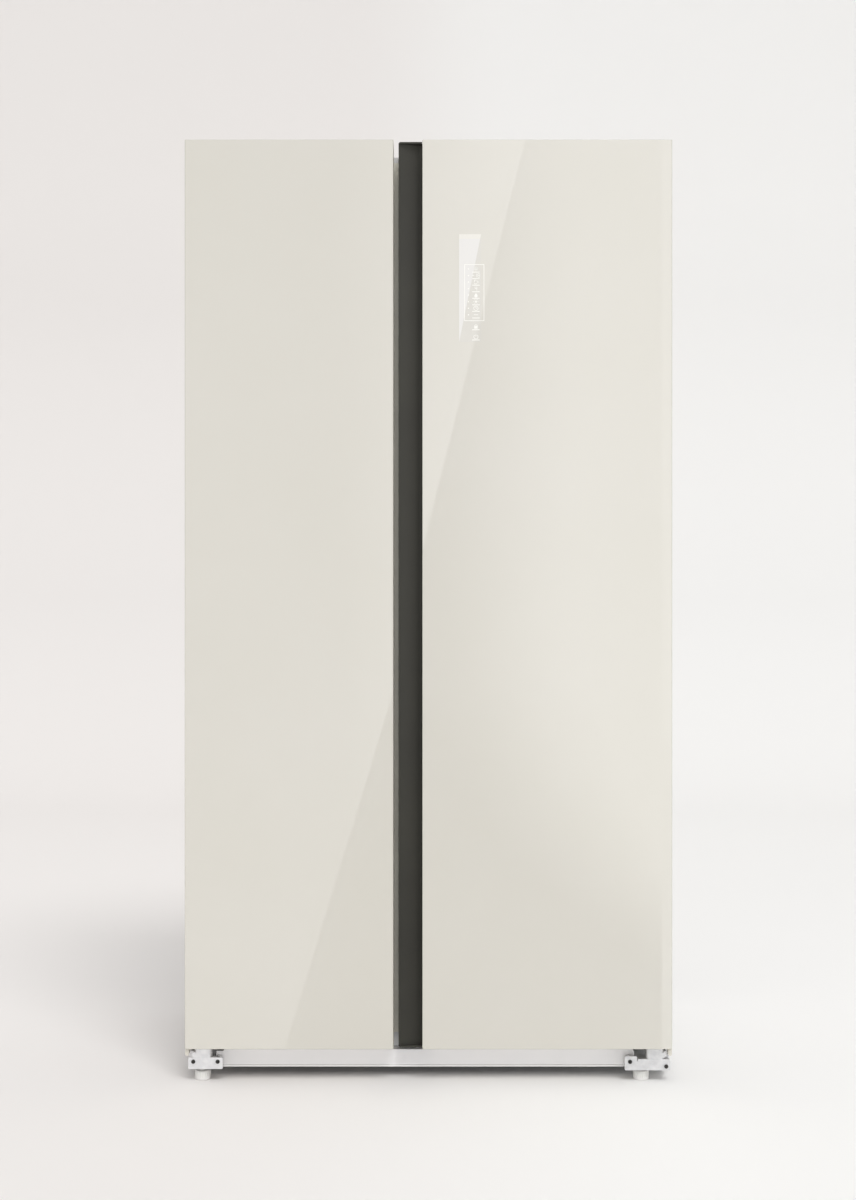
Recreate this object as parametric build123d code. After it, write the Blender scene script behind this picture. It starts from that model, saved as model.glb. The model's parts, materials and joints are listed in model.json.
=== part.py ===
from build123d import *
import os
from math import cos, radians, sin

# A free-standing side by side refrigerator: freezer on the left, fridge on the right.
# Millimetres. +Z is up, the doors face -Y, the origin is on the floor under the middle.

# Driving dimensions
WIDTH = 910.0
HEIGHT = 1760.0
DEPTH = 660.0
FREEZER_DOOR_WIDTH = 389.5
CENTRE_GAP = 9.5
GRIP_WIDTH = 44.0
DOOR_BOTTOM = 62.0
DOOR_THICKNESS = 64.0
SEAL_GAP = 15.0
TOP_STEP = 16.0
REAR_COVER = 14.0
SIDE_REVEAL = 2.0
MULLION_WIDTH = 60.0
FREEZER_WALL = 58.0
FRIDGE_WALL = 56.0
CEILING_WALL = 55.0
REAR_WALL = 55.0
CAVITY_FLOOR = 115.0
STEP_FLOOR = 335.0
STEP_WALL_Y = 40.0
CABINET_FOOT = 20.0
MACHINE_FLOOR = 26.0
MACHINE_TOP = 280.0
MACHINE_Y = 90.0
SHEET = 1.2
LINER = 2.5
GLASS = 4.0
SKIN = 2.0
CAP = 28.0
HINGE_INSET = 31.0
HINGE_SETBACK = 32.0
PIN_RADIUS = 5.0
PIN_CHAMFER = 1.0
RUNNING_GAP = 0.1
MOVING_GAP = 0.4
# How far a cutting shape runs past the face that it cuts
CUT = 1.0

# Planes worked out from them
HALF = WIDTH / 2
FRONT = -DEPTH / 2
REAR = DEPTH / 2
GLASS_BACK = FRONT + GLASS
DOOR_BACK = FRONT + DOOR_THICKNESS
CABINET_FRONT = DOOR_BACK + SEAL_GAP
CABINET_BACK = REAR - REAR_COVER
CABINET_HALF = HALF - SIDE_REVEAL
CABINET_TOP = HEIGHT - TOP_STEP
PANEL_IN = CABINET_HALF - SHEET
FOAM_FRONT = CABINET_FRONT + SHEET
FOAM_BACK = CABINET_BACK - SHEET
FOAM_TOP = CABINET_TOP - SHEET
MULLION_X = -HALF + FREEZER_DOOR_WIDTH + CENTRE_GAP / 2
FREEZER_X = (-CABINET_HALF + FREEZER_WALL, MULLION_X - MULLION_WIDTH / 2)
FRIDGE_X = (MULLION_X + MULLION_WIDTH / 2, CABINET_HALF - FRIDGE_WALL)
CAVITY_TOP = CABINET_TOP - CEILING_WALL
CAVITY_BACK = CABINET_BACK - REAR_WALL
LINER_SPAN = (FREEZER_X[0] - LINER, FRIDGE_X[1] + LINER)
LINER_TOP = CAVITY_TOP + LINER
LINER_FLOOR = CAVITY_FLOOR - LINER
LINER_BACK = CAVITY_BACK + LINER
LINER_STEP = STEP_FLOOR - LINER
LINER_STEP_Y = STEP_WALL_Y + LINER
MULLION_SPAN = (FREEZER_X[1] + LINER, FRIDGE_X[0] - LINER)
FRIDGE_DOOR_WIDTH = WIDTH - FREEZER_DOOR_WIDTH - CENTRE_GAP
FRIDGE_GLASS_WIDTH = FRIDGE_DOOR_WIDTH - GRIP_WIDTH
HINGE_Y = FRONT + HINGE_SETBACK

# Side signs: the freezer door hangs on the left, the fridge door on the right
LEFT = -1
RIGHT = 1


# Shape helpers

def block(x, y, z):
    """A box between two limits on each axis."""
    limits = [sorted(pair) for pair in (x, y, z)]
    size = [high - low for low, high in limits]
    middle = [(high + low) / 2 for low, high in limits]
    return Pos(*middle) * Box(*size)


def grown(limits, by):
    """Limits moved outward at both ends."""
    low, high = sorted(limits)
    return (low - by, high + by)


def about(middle, half):
    """Limits at the same distance either side of a middle."""
    return (middle - half, middle + half)


def upright(x, y, z, radius):
    return Pos(x, y, sum(z) / 2) * Cylinder(radius, abs(z[1] - z[0]))


def rod_x(x, y, z, radius):
    return Pos(sum(x) / 2, y, z) * Rot(0, 90, 0) * Cylinder(radius, abs(x[1] - x[0]))


def rod_y(x, y, z, radius):
    return Pos(x, sum(y) / 2, z) * Rot(90, 0, 0) * Cylinder(radius, abs(y[1] - y[0]))


def prism_x(outline, x):
    """A YZ outline carried along X."""
    face = make_face(Polyline(*outline, close=True))
    return extrude(Plane.YZ.offset(min(x)) * face, abs(x[1] - x[0]))


def prism_z(outline, z):
    """An XY outline carried up Z."""
    face = make_face(Polyline(*outline, close=True))
    return extrude(Pos(0, 0, min(z)) * face, abs(z[1] - z[0]))


def in_from(side, inset):
    """The X that lies an inset in from one side of the refrigerator."""
    return side * (HALF - inset)


def across(side, start, end):
    return (in_from(side, start), in_from(side, end))


def softened(part, radius, axis):
    """The part with its edges along one axis rounded."""
    return fillet(part.edges().filter_by(axis), radius)


def inner_walls(cavity):
    """Each side wall of a cavity, with the direction that points into the cavity."""
    return ((cavity[0], 1), (cavity[1], -1))


def save(node, *pieces):
    """Write one node, as a single solid or as a group of solids."""
    solids = [solid for piece in pieces for solid in piece.solids()]
    shape = solids[0] if len(solids) == 1 else Compound(solids)
    export_step(shape, f"parts/{node}.step")


# Outer casing

def side_panel(side):
    plate_x = (side * CABINET_HALF, side * PANEL_IN)
    plate = block(plate_x, (CABINET_FRONT, CABINET_BACK), (CABINET_FOOT, CABINET_TOP))
    cavity_edge = LINER_SPAN[0] if side == LEFT else LINER_SPAN[1]
    flange_x = (side * CABINET_HALF, cavity_edge)
    return plate + block(flange_x, (CABINET_FRONT, FOAM_FRONT), (DOOR_BOTTOM, FOAM_TOP))


MULLION_COVER_Z = (DOOR_BOTTOM + 15.0, CABINET_TOP - 10.0)


def mullion_cover():
    """The centre post's front strip, which laps the rails above and below it."""
    return block(MULLION_SPAN, (CABINET_FRONT, FOAM_FRONT), MULLION_COVER_Z)


def top_panel():
    plate = block((-PANEL_IN, PANEL_IN), (CABINET_FRONT, CABINET_BACK), (FOAM_TOP, CABINET_TOP))
    flange = block(LINER_SPAN, (CABINET_FRONT, FOAM_FRONT), (LINER_TOP, FOAM_TOP))
    return plate + flange - mullion_cover()


BACK_RIB_COUNT = 5
BACK_RIB_WIDTH = 24.0
BACK_RIB_DEPTH = 3.0
BACK_RIB_SLOPE = 2.4
BACK_RIB_MARGIN = 120.0


def back_panel():
    """Rear sheet with the stiffening ribs that stand on it."""
    panel = block((-PANEL_IN, PANEL_IN), (FOAM_BACK, CABINET_BACK), (MACHINE_TOP, FOAM_TOP))
    rib_y = (CABINET_BACK, CABINET_BACK + BACK_RIB_DEPTH)
    rib_z = (MACHINE_TOP + BACK_RIB_MARGIN, FOAM_TOP - BACK_RIB_MARGIN)
    pitch = 2 * (PANEL_IN - BACK_RIB_MARGIN) / (BACK_RIB_COUNT - 1)
    ribs = []
    for count in range(BACK_RIB_COUNT):
        middle = -PANEL_IN + BACK_RIB_MARGIN + count * pitch
        rib = block(about(middle, BACK_RIB_WIDTH / 2), rib_y, rib_z)
        ribs.append(chamfer(rib.faces().sort_by(Axis.Y)[-1].edges(), BACK_RIB_SLOPE))
    return [panel, *ribs]


# Base with its rails and roller brackets

RAIL_FLANGE = 25.0
RAIL_SHEET = 1.8
RAIL_Y = (FOAM_FRONT + SHEET, MACHINE_Y - SHEET)
ROLLER_X = 385.0
ROLLER_Y = 250.0
ROLLER_RADIUS = 20.0
ROLLER_WIDTH = 22.0
ROLLER_SIDE_GAP = 1.5
ROLLER_ROUND_GAP = 3.0
AXLE_RADIUS = 4.0
EAR_SHEET = 2.5
EAR_REACH = 9.0


def side_rail(side):
    outer = side * PANEL_IN
    web = block((outer, outer - side * RAIL_SHEET), RAIL_Y, (MACHINE_FLOOR, DOOR_BOTTOM - SHEET))
    flange_z = (MACHINE_FLOOR, MACHINE_FLOOR + RAIL_SHEET)
    return web + block((outer, outer - side * RAIL_FLANGE), RAIL_Y, flange_z)


def roller_slot(side):
    """The opening in the machine floor above a roller."""
    slot_x = about(side * ROLLER_X, ROLLER_WIDTH / 2 + ROLLER_SIDE_GAP)
    slot_y = about(ROLLER_Y, ROLLER_RADIUS + ROLLER_ROUND_GAP)
    return block(slot_x, slot_y, grown((MACHINE_FLOOR, MACHINE_FLOOR + RAIL_SHEET), CUT))


def roller_bracket(side):
    """Two ears under the machine floor and the axle pressed through them."""
    reach = ROLLER_WIDTH / 2 + ROLLER_SIDE_GAP
    axle = rod_x(about(side * ROLLER_X, reach + EAR_SHEET), ROLLER_Y, ROLLER_RADIUS, AXLE_RADIUS)
    ears = []
    for edge in (-1, 1):
        inner = side * ROLLER_X + edge * reach
        ear_x = (inner, inner + edge * EAR_SHEET)
        ear_y = about(ROLLER_Y, EAR_REACH)
        ear = block(ear_x, ear_y, (ROLLER_RADIUS, MACHINE_FLOOR))
        ear += rod_x(ear_x, ROLLER_Y, ROLLER_RADIUS, EAR_REACH) & block(ear_x, ear_y, (0, MACHINE_FLOOR))
        ears.append(ear - axle)
    return [*ears, axle]


def base_tray():
    """Pressed sheets, side rails and roller brackets, welded edge to edge."""
    wide = (-PANEL_IN, PANEL_IN)
    rear_y = (MACHINE_Y, FOAM_BACK)
    pan = block(wide, RAIL_Y, (DOOR_BOTTOM - SHEET, DOOR_BOTTOM))
    wall = block(wide, (MACHINE_Y - SHEET, MACHINE_Y), (MACHINE_FLOOR, MACHINE_TOP))
    roof = block(wide, rear_y, (MACHINE_TOP - SHEET, MACHINE_TOP))
    floor = block(wide, rear_y, (MACHINE_FLOOR, MACHINE_FLOOR + RAIL_SHEET))
    underparts = []
    for side in (LEFT, RIGHT):
        floor -= roller_slot(side)
        underparts += [side_rail(side), *roller_bracket(side)]
    return [pan, wall, roof, floor, *underparts]


# Insulation

DAMPER_Y = (195.0, 245.0)
DAMPER_Z = (1550.0, 1600.0)
DAMPER_WALL = 3.0


def damper_passage():
    return block(grown(MULLION_SPAN, 3 * LINER), DAMPER_Y, DAMPER_Z)


def foam_blocks():
    """The cabinet's insulation, as the slabs that fill each wall."""
    front_y = (FOAM_FRONT, MACHINE_Y - SHEET)
    rear_y = (MACHINE_Y - SHEET, FOAM_BACK)
    slabs = []
    for wall in ((-PANEL_IN, LINER_SPAN[0]), (LINER_SPAN[1], PANEL_IN)):
        slabs.append(block(wall, front_y, (DOOR_BOTTOM, FOAM_TOP)))
        slabs.append(block(wall, rear_y, (MACHINE_TOP, FOAM_TOP)))
    slabs.append(block(LINER_SPAN, (FOAM_FRONT, FOAM_BACK), (LINER_TOP, FOAM_TOP)))
    slabs.append(block(LINER_SPAN, (LINER_BACK, FOAM_BACK), (MACHINE_TOP, LINER_TOP)))
    slabs.append(block(LINER_SPAN, (FOAM_FRONT, LINER_STEP_Y), (DOOR_BOTTOM, LINER_FLOOR)))
    slabs.append(block(LINER_SPAN, (LINER_STEP_Y, MACHINE_Y - SHEET), (DOOR_BOTTOM, LINER_STEP)))
    slabs.append(block(LINER_SPAN, (MACHINE_Y - SHEET, LINER_BACK), (MACHINE_TOP, LINER_STEP)))
    slabs.append(block(MULLION_SPAN, (FOAM_FRONT, LINER_STEP_Y), (LINER_FLOOR, LINER_TOP)))
    post_back = block(MULLION_SPAN, (LINER_STEP_Y, LINER_BACK), (LINER_STEP, LINER_TOP))
    slabs.append(post_back - damper_passage())
    return slabs


# Liners with their shelf ledges

SHELF_Z = {"freezer": (586.0, 830.0, 1075.0, 1335.0), "fridge": (586.0, 850.0, 1110.0, 1390.0)}
SHELF_FRONT = -135.0
SHELF_GLASS = 4.0
LEDGE_WIDTH = 8.0
LEDGE_HEIGHT = 6.0
DRAWER_LEDGE_Z = 346.0
DRAWER_REAR_GAP = 10.0
RUNNER_HEIGHT = 2.5
RUNNER_WIDTH = 8.0
RUNNER_INSET = 30.0
FREEZER_DUCT_Y = 180.0
FRIDGE_DUCT_Y = 234.0
DUCT_CLEAR = 0.6
LINER_CORNER = 14.0
LINER_FLOOR_CORNER = 5.0


def cavity_outline(grow):
    return [
        (CABINET_FRONT, CAVITY_FLOOR - grow),
        (STEP_WALL_Y + grow, CAVITY_FLOOR - grow),
        (STEP_WALL_Y + grow, STEP_FLOOR - grow),
        (CAVITY_BACK + grow, STEP_FLOOR - grow),
        (CAVITY_BACK + grow, CAVITY_TOP + grow),
        (CABINET_FRONT, CAVITY_TOP + grow),
    ]


def ledges(cavity, heights, back):
    """Side ledges whose top faces are at the given heights."""
    bars = []
    for height in heights:
        for wall, inward in inner_walls(cavity):
            span = (wall, wall + inward * LEDGE_WIDTH)
            bars.append(block(span, (SHELF_FRONT, back), (height - LEDGE_HEIGHT, height)))
    return bars


def liner(cavity, shelf_heights, shelf_back):
    outer = prism_x(cavity_outline(LINER), grown(cavity, LINER))
    space = prism_x(cavity_outline(0), cavity)
    space = fillet(space.edges().filter_by(Axis.Y).group_by(Axis.Z)[-1], LINER_CORNER)
    space = fillet(space.edges().filter_by(Axis.Y).group_by(Axis.Z)[0], LINER_FLOOR_CORNER)
    shell = outer - space
    for bar in ledges(cavity, shelf_heights, shelf_back - DUCT_CLEAR):
        shell += bar
    for bar in ledges(cavity, (DRAWER_LEDGE_Z,), FREEZER_DUCT_Y - DRAWER_REAR_GAP):
        shell += bar
    runner_z = (CAVITY_FLOOR, CAVITY_FLOOR + RUNNER_HEIGHT)
    for wall, inward in inner_walls(cavity):
        start = wall + inward * RUNNER_INSET
        shell += block((start, start + inward * RUNNER_WIDTH), (SHELF_FRONT, STEP_WALL_Y), runner_z)
    return shell - damper_passage()


# Lower hinges and the plinth beam that carries them

PLINTH_FRONT = -281.0
PLINTH_TOP = 51.0
PLINTH_FOOT = 18.5
PLINTH_SHEET = 2.0
PLINTH_RETURN = 24.0
HEM_BULGE = 2.5
HEM_HEIGHT = 4.0
HEM_ROUND = 1.8
HINGE_BAY = 68.0
HINGE_BAY_TOP = 48.0
NOTCH_FOOT = 38.0
NOTCH_REACH = 8.0
HINGE_SHEET = 4.0
APRON_Y = (FRONT + 12.0, FRONT + 12.0 + HINGE_SHEET)
APRON_ROUND = 2.0
SEAT_Y = (PLINTH_FRONT - HINGE_SHEET, PLINTH_FRONT)
SEAT_FOOT = 24.0
SEAT_END = 44.0
PIN_BLOCK_Y = (APRON_Y[0] + 1.0, SEAT_Y[0])
PIN_BLOCK_TOP = DOOR_BOTTOM - 2.4
PIN_BLOCK_ROUND = 4.0
LOWER_PIN_TOP = DOOR_BOTTOM + 16.0
LOBE_RADIUS = 5.0
LOBE_Y = (PIN_BLOCK_Y[0], PIN_BLOCK_Y[0] + 12.0)
LOBE_Z = 49.0
SCREW_RING = 6.0
SCREW_RING_HEIGHT = 1.0
SCREW_TUBE = 5.0
SCREW_HOLE = 2.8
STOP_SPAN = (4.0, 9.0)
STOP_HALF_Y = 7.0
STOP_TOP = 46.0
FOOT_Y = HINGE_Y
FOOT_STUD = 5.0
FOOT_GAP = 0.3
STUD_BOSS = 9.0
STUD_BOSS_FOOT = 30.0
STUD_COVER = 1.0
# Insets from the side; each stretch of apron has its top, and each screw its height
LOWER_HINGE = {
    LEFT: {
        "apron": ((5.3, 69.8, 44.4),),
        "apron_foot": 22.8,
        "plate": (16.8, 48.4),
        "plate_z": (40.4, 44.4),
        "nose": 0.0,
        "block": (16.8, 48.4),
        "screws": ((15.0, 37.0), (60.6, 37.0)),
        "foot": 30.4,
        "notch": (44.5, 54.0),
    },
    RIGHT: {
        "apron": ((2.7, 64.9, 37.6), (64.9, 87.6, 46.6)),
        "apron_foot": 20.4,
        "plate": (4.0, 63.0),
        "plate_z": (37.6, 41.4),
        "nose": 1.0,
        "block": (14.5, 46.7),
        "screws": ((10.2, 28.0), (77.9, 36.7)),
        "foot": 55.1,
        "notch": (44.5, 66.0),
    },
}


def plinth_channel():
    """Folded beam under the doors, with a rounded hem along its foot and closed ends."""
    wide = (-PANEL_IN, PANEL_IN)
    sheet_y = (PLINTH_FRONT, PLINTH_FRONT + PLINTH_SHEET)
    beam = block(wide, (PLINTH_FRONT, FOAM_FRONT), (PLINTH_TOP - PLINTH_SHEET, PLINTH_TOP))
    beam += block(wide, sheet_y, (PLINTH_FOOT, PLINTH_TOP))
    return_y = (PLINTH_FRONT, PLINTH_FRONT + PLINTH_RETURN)
    beam += block(wide, return_y, (PLINTH_FOOT, PLINTH_FOOT + PLINTH_SHEET))
    hem_y = (PLINTH_FRONT - HEM_BULGE, sheet_y[1])
    hem = block(wide, hem_y, (PLINTH_FOOT, PLINTH_FOOT + HEM_HEIGHT))
    beam += fillet(hem.faces().sort_by(Axis.Y)[0].edges().filter_by(Axis.X), HEM_ROUND)
    for side in (LEFT, RIGHT):
        end_x = (side * PANEL_IN, side * (PANEL_IN - PLINTH_SHEET))
        beam += block(end_x, (PLINTH_FRONT, CABINET_FRONT), (PLINTH_FOOT, PLINTH_TOP))
        bay_y = (PLINTH_FRONT - CUT, FOAM_FRONT + CUT)
        beam -= block(across(side, 0, HINGE_BAY), bay_y, (HINGE_BAY_TOP, PLINTH_TOP + CUT))
        notch_y = (PLINTH_FRONT - CUT, PLINTH_FRONT + NOTCH_REACH)
        beam -= block(across(side, *LOWER_HINGE[side]["notch"]), notch_y, (NOTCH_FOOT, PLINTH_TOP))
    return beam


def cabinet_sill():
    """The sheet that closes the cabinet's front between the plinth and the liners."""
    return block(LINER_SPAN, (CABINET_FRONT, FOAM_FRONT), (PLINTH_TOP, LINER_FLOOR)) - mullion_cover()


def hinge_apron(side):
    """The lower hinge's front face, which hangs in front of the foot's stud."""
    size = LOWER_HINGE[side]
    face = Part()
    for start, end, top in size["apron"]:
        face += block(across(side, start, end), APRON_Y, (size["apron_foot"], top))
    return softened(face, APRON_ROUND, Axis.Y)


def lower_hinge(side):
    """Bracket under a door: apron, plate back to the plinth, pin block and pin, boss for the foot's stud."""
    size = LOWER_HINGE[side]
    plate_z = size["plate_z"]
    bracket = hinge_apron(side)
    bracket += block(across(side, *size["plate"]), (APRON_Y[0] - size["nose"], PLINTH_FRONT), plate_z)
    bracket += block(across(side, size["plate"][0], SEAT_END), SEAT_Y, (SEAT_FOOT, plate_z[1]))
    pin_block = block(across(side, *size["block"]), PIN_BLOCK_Y, (plate_z[0], PIN_BLOCK_TOP))
    bracket += softened(pin_block, PIN_BLOCK_ROUND, Axis.Z)
    pin = upright(in_from(side, HINGE_INSET), HINGE_Y, (plate_z[1], LOWER_PIN_TOP), PIN_RADIUS)
    bracket += chamfer(pin.faces().sort_by(Axis.Z)[-1].edges(), PIN_CHAMFER)
    bracket += rod_y(in_from(side, size["block"][0]), LOBE_Y, LOBE_Z, LOBE_RADIUS)
    if side == RIGHT:
        stop_z = (plate_z[0], STOP_TOP)
        bracket += block(across(side, *STOP_SPAN), about(HINGE_Y, STOP_HALF_Y), stop_z)
    ring_y = (APRON_Y[0] - SCREW_RING_HEIGHT, APRON_Y[1])
    for inset, height in size["screws"]:
        x = in_from(side, inset)
        bracket += rod_y(x, ring_y, height, SCREW_RING)
        bracket += rod_y(x, (APRON_Y[0], PLINTH_FRONT), height, SCREW_TUBE)
        bracket -= rod_y(x, grown((ring_y[0], PLINTH_FRONT), CUT), height, SCREW_HOLE)
    foot_x = in_from(side, size["foot"])
    bracket += upright(foot_x, FOOT_Y, (STUD_BOSS_FOOT, plate_z[1]), STUD_BOSS)
    stud_z = (STUD_BOSS_FOOT - CUT, plate_z[1] - STUD_COVER / 2)
    return bracket - upright(foot_x, FOOT_Y, stud_z, FOOT_STUD + FOOT_GAP)


# Upper hinges and their covers

UPPER_SHEET = 4.0
UPPER_SPAN = (6.0, 70.0)
UPPER_PLATE_Y = (CABINET_FRONT + 5.0, CABINET_FRONT + 71.0)
UPPER_ROUND = 6.0
UPPER_LEVEL = (CABINET_TOP, CABINET_TOP + UPPER_SHEET)
UPPER_ARM_HALF = 8.0
UPPER_ARM_LAP = 12.0
UPPER_PIN_FOOT = HEIGHT - CAP + 1.5
UPPER_SCREW_INSETS = (16.0, 60.0)
UPPER_SCREW_BACKS = (18.0, 56.0)
UPPER_SCREW_HOLE = 3.2
COVER_SPAN = (3.0, 76.0)
COVER_Y = (CABINET_FRONT + 1.5, CABINET_FRONT + 100.0)
COVER_TOP = HEIGHT - 1.5
COVER_WALL = 2.0
COVER_CORNER = 5.0
COVER_EDGE = 3.0
COVER_MOUTH_GAP = 0.5
COVER_MOUTH_REACH = 6.0


def upper_screw_places(side):
    insets = [in_from(side, inset) for inset in UPPER_SCREW_INSETS]
    return [(x, UPPER_PLATE_Y[0] + back) for x in insets for back in UPPER_SCREW_BACKS]


def upper_hinge(side):
    pin_x = in_from(side, HINGE_INSET)
    plate = block(across(side, *UPPER_SPAN), UPPER_PLATE_Y, UPPER_LEVEL)
    hinge = softened(plate, UPPER_ROUND, Axis.Z)
    hinge += block(about(pin_x, UPPER_ARM_HALF), (HINGE_Y, UPPER_PLATE_Y[0] + UPPER_ARM_LAP), UPPER_LEVEL)
    hinge += upright(pin_x, HINGE_Y, UPPER_LEVEL, UPPER_ARM_HALF)
    pin = upright(pin_x, HINGE_Y, (UPPER_PIN_FOOT, UPPER_LEVEL[1]), PIN_RADIUS)
    hinge += chamfer(pin.faces().sort_by(Axis.Z)[0].edges(), PIN_CHAMFER)
    for x, y in upper_screw_places(side):
        hinge -= upright(x, y, grown(UPPER_LEVEL, CUT), UPPER_SCREW_HOLE)
    return hinge


def hinge_cover(side):
    outer = block(across(side, *COVER_SPAN), COVER_Y, (CABINET_TOP, COVER_TOP))
    outer = softened(outer, COVER_CORNER, Axis.Z)
    outer = fillet(outer.faces().sort_by(Axis.Z)[-1].edges(), COVER_EDGE)
    inner_x = grown(across(side, *COVER_SPAN), -COVER_WALL)
    inner = block(inner_x, grown(COVER_Y, -COVER_WALL), (CABINET_TOP - CUT, COVER_TOP - COVER_WALL))
    mouth_x = about(in_from(side, HINGE_INSET), UPPER_ARM_HALF + COVER_MOUTH_GAP)
    mouth_z = (CABINET_TOP - CUT, UPPER_LEVEL[1] + COVER_MOUTH_GAP)
    return outer - inner - block(mouth_x, about(COVER_Y[0], COVER_MOUTH_REACH), mouth_z)


# Hinge screws

SCREW_HEAD = 3.8
SCREW_HEAD_DEPTH = 2.6
SCREW_HEAD_ROUND = 1.2
SCREW_SHANK = 2.5
SCREW_RECESS = 1.8
SCREW_RECESS_DEPTH = 1.6


def plinth_screw(x, z):
    seat = APRON_Y[0] - SCREW_RING_HEIGHT
    tip = seat - SCREW_HEAD_DEPTH
    head = rod_y(x, (tip, seat), z, SCREW_HEAD)
    head = fillet(head.faces().sort_by(Axis.Y)[0].edges(), SCREW_HEAD_ROUND)
    head -= rod_y(x, (tip - CUT, tip + SCREW_RECESS_DEPTH), z, SCREW_RECESS)
    return head + rod_y(x, (seat, PLINTH_FRONT), z, SCREW_SHANK)


def top_screw(x, y):
    seat = UPPER_LEVEL[1]
    tip = seat + SCREW_HEAD_DEPTH
    head = upright(x, y, (seat, tip), SCREW_HEAD)
    head = fillet(head.faces().sort_by(Axis.Z)[-1].edges(), SCREW_HEAD_ROUND)
    head -= upright(x, y, (tip - SCREW_RECESS_DEPTH, tip + CUT), SCREW_RECESS)
    return head + upright(x, y, (CABINET_TOP, seat), SCREW_SHANK)


def hinge_screws():
    screws = []
    for side in (LEFT, RIGHT):
        screws += [plinth_screw(in_from(side, inset), z) for inset, z in LOWER_HINGE[side]["screws"]]
        screws += [top_screw(x, y) for x, y in upper_screw_places(side)]
    return screws


# Feet and rollers

FOOT_RADIUS = 14.8
FOOT_HEIGHT = 17.4
FOOT_CHAMFER = 1.5
FOOT_RIM = 4.0
FOOT_RIBS = 18
FOOT_RIB_CUT = 1.1
TYRE_ROUND = 2.0
DISH_DEPTH = 3.0
DISH_RADIUS = 14.0
HUB_RADIUS = 8.0


def foot(side):
    """Ribbed levelling foot with its stud."""
    x = in_from(side, LOWER_HINGE[side]["foot"])
    pad = upright(x, FOOT_Y, (0, FOOT_HEIGHT), FOOT_RADIUS)
    pad = chamfer(pad.edges().filter_by(GeomType.CIRCLE), FOOT_CHAMFER)
    for count in range(FOOT_RIBS):
        angle = radians(360 / FOOT_RIBS * count)
        rib_x = x + FOOT_RADIUS * cos(angle)
        rib_y = FOOT_Y + FOOT_RADIUS * sin(angle)
        pad -= upright(rib_x, rib_y, (FOOT_RIM, FOOT_HEIGHT + CUT), FOOT_RIB_CUT)
    stud_top = LOWER_HINGE[side]["plate_z"][1] - STUD_COVER
    return pad + upright(x, FOOT_Y, (FOOT_HEIGHT, stud_top), FOOT_STUD)


def roller(side):
    """Wheel with a rounded tyre and a dish on each face."""
    x = about(side * ROLLER_X, ROLLER_WIDTH / 2)
    wheel = rod_x(x, ROLLER_Y, ROLLER_RADIUS, ROLLER_RADIUS)
    wheel = fillet(wheel.edges().filter_by(GeomType.CIRCLE), TYRE_ROUND)
    for end in x:
        dish = rod_x(about(end, DISH_DEPTH), ROLLER_Y, ROLLER_RADIUS, DISH_RADIUS)
        wheel -= dish - rod_x(about(end, DISH_DEPTH), ROLLER_Y, ROLLER_RADIUS, HUB_RADIUS)
    return wheel - rod_x(grown(x, CUT), ROLLER_Y, ROLLER_RADIUS, AXLE_RADIUS + RUNNING_GAP)


# Cooling machine

COMPRESSOR_X = -262.0
COMPRESSOR_Y = 200.0
COMPRESSOR_RADIUS = 82.0
COMPRESSOR_DOME = 38.0
COMPRESSOR_Z = (52.0, 240.0)
COMPRESSOR_SEAM = 4.0
COMPRESSOR_SEAM_HALF = 5.0
COMPRESSOR_PLATE = (210.0, 130.0, 3.0)
COMPRESSOR_PLATE_RISE = 2.0
COMPRESSOR_PLATE_ROUND = 12.0
COMPRESSOR_FEET = (85.0, 50.0)
COMPRESSOR_FOOT_RADIUS = 11.0
PIPE_RADIUS = 4.0
PIPE_STUB = 40.0
PIPE_SPREAD = 30.0


def compressor():
    pot = upright(COMPRESSOR_X, COMPRESSOR_Y, COMPRESSOR_Z, COMPRESSOR_RADIUS)
    pot = fillet(pot.edges().filter_by(GeomType.CIRCLE), COMPRESSOR_DOME)
    middle = sum(COMPRESSOR_Z) / 2
    seam_z = about(middle, COMPRESSOR_SEAM_HALF)
    pot += upright(COMPRESSOR_X, COMPRESSOR_Y, seam_z, COMPRESSOR_RADIUS + COMPRESSOR_SEAM)
    plate_z = COMPRESSOR_Z[0] + COMPRESSOR_PLATE_RISE
    plate = Pos(COMPRESSOR_X, COMPRESSOR_Y, plate_z) * Box(*COMPRESSOR_PLATE)
    pot += softened(plate, COMPRESSOR_PLATE_ROUND, Axis.Z)
    foot_z = (MACHINE_FLOOR + RAIL_SHEET, plate_z)
    for side in (-1, 1):
        for end in (-1, 1):
            x = COMPRESSOR_X + side * COMPRESSOR_FEET[0]
            y = COMPRESSOR_Y + end * COMPRESSOR_FEET[1]
            pot += upright(x, y, foot_z, COMPRESSOR_FOOT_RADIUS)
    pipe_x = (COMPRESSOR_X, COMPRESSOR_X + COMPRESSOR_RADIUS + PIPE_STUB)
    for height in about(middle, PIPE_SPREAD):
        pot += rod_x(pipe_x, COMPRESSOR_Y - PIPE_SPREAD, height, PIPE_RADIUS)
    return pot


FIN_SHEET = 1.2
TUBE_OVERHANG = 8.0
TUBE_PLACES = (0.3, 0.7)


def finned_coil(x, y, z, plates, rows):
    """Parallel fins on straight tubes that run along X."""
    pitch = (x[1] - x[0]) / (plates - 1)
    coil = block((x[0], x[0] + FIN_SHEET), y, z)
    for count in range(1, plates):
        start = x[0] + count * pitch
        coil += block((start, start + FIN_SHEET), y, z)
    tube_x = (x[0] - TUBE_OVERHANG, x[1] + FIN_SHEET + TUBE_OVERHANG)
    rise = (z[1] - z[0]) / rows
    for row in range(rows):
        height = z[0] + rise * (row + 0.5)
        for place in TUBE_PLACES:
            coil += rod_x(tube_x, y[0] + (y[1] - y[0]) * place, height, PIPE_RADIUS)
    return coil


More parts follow.
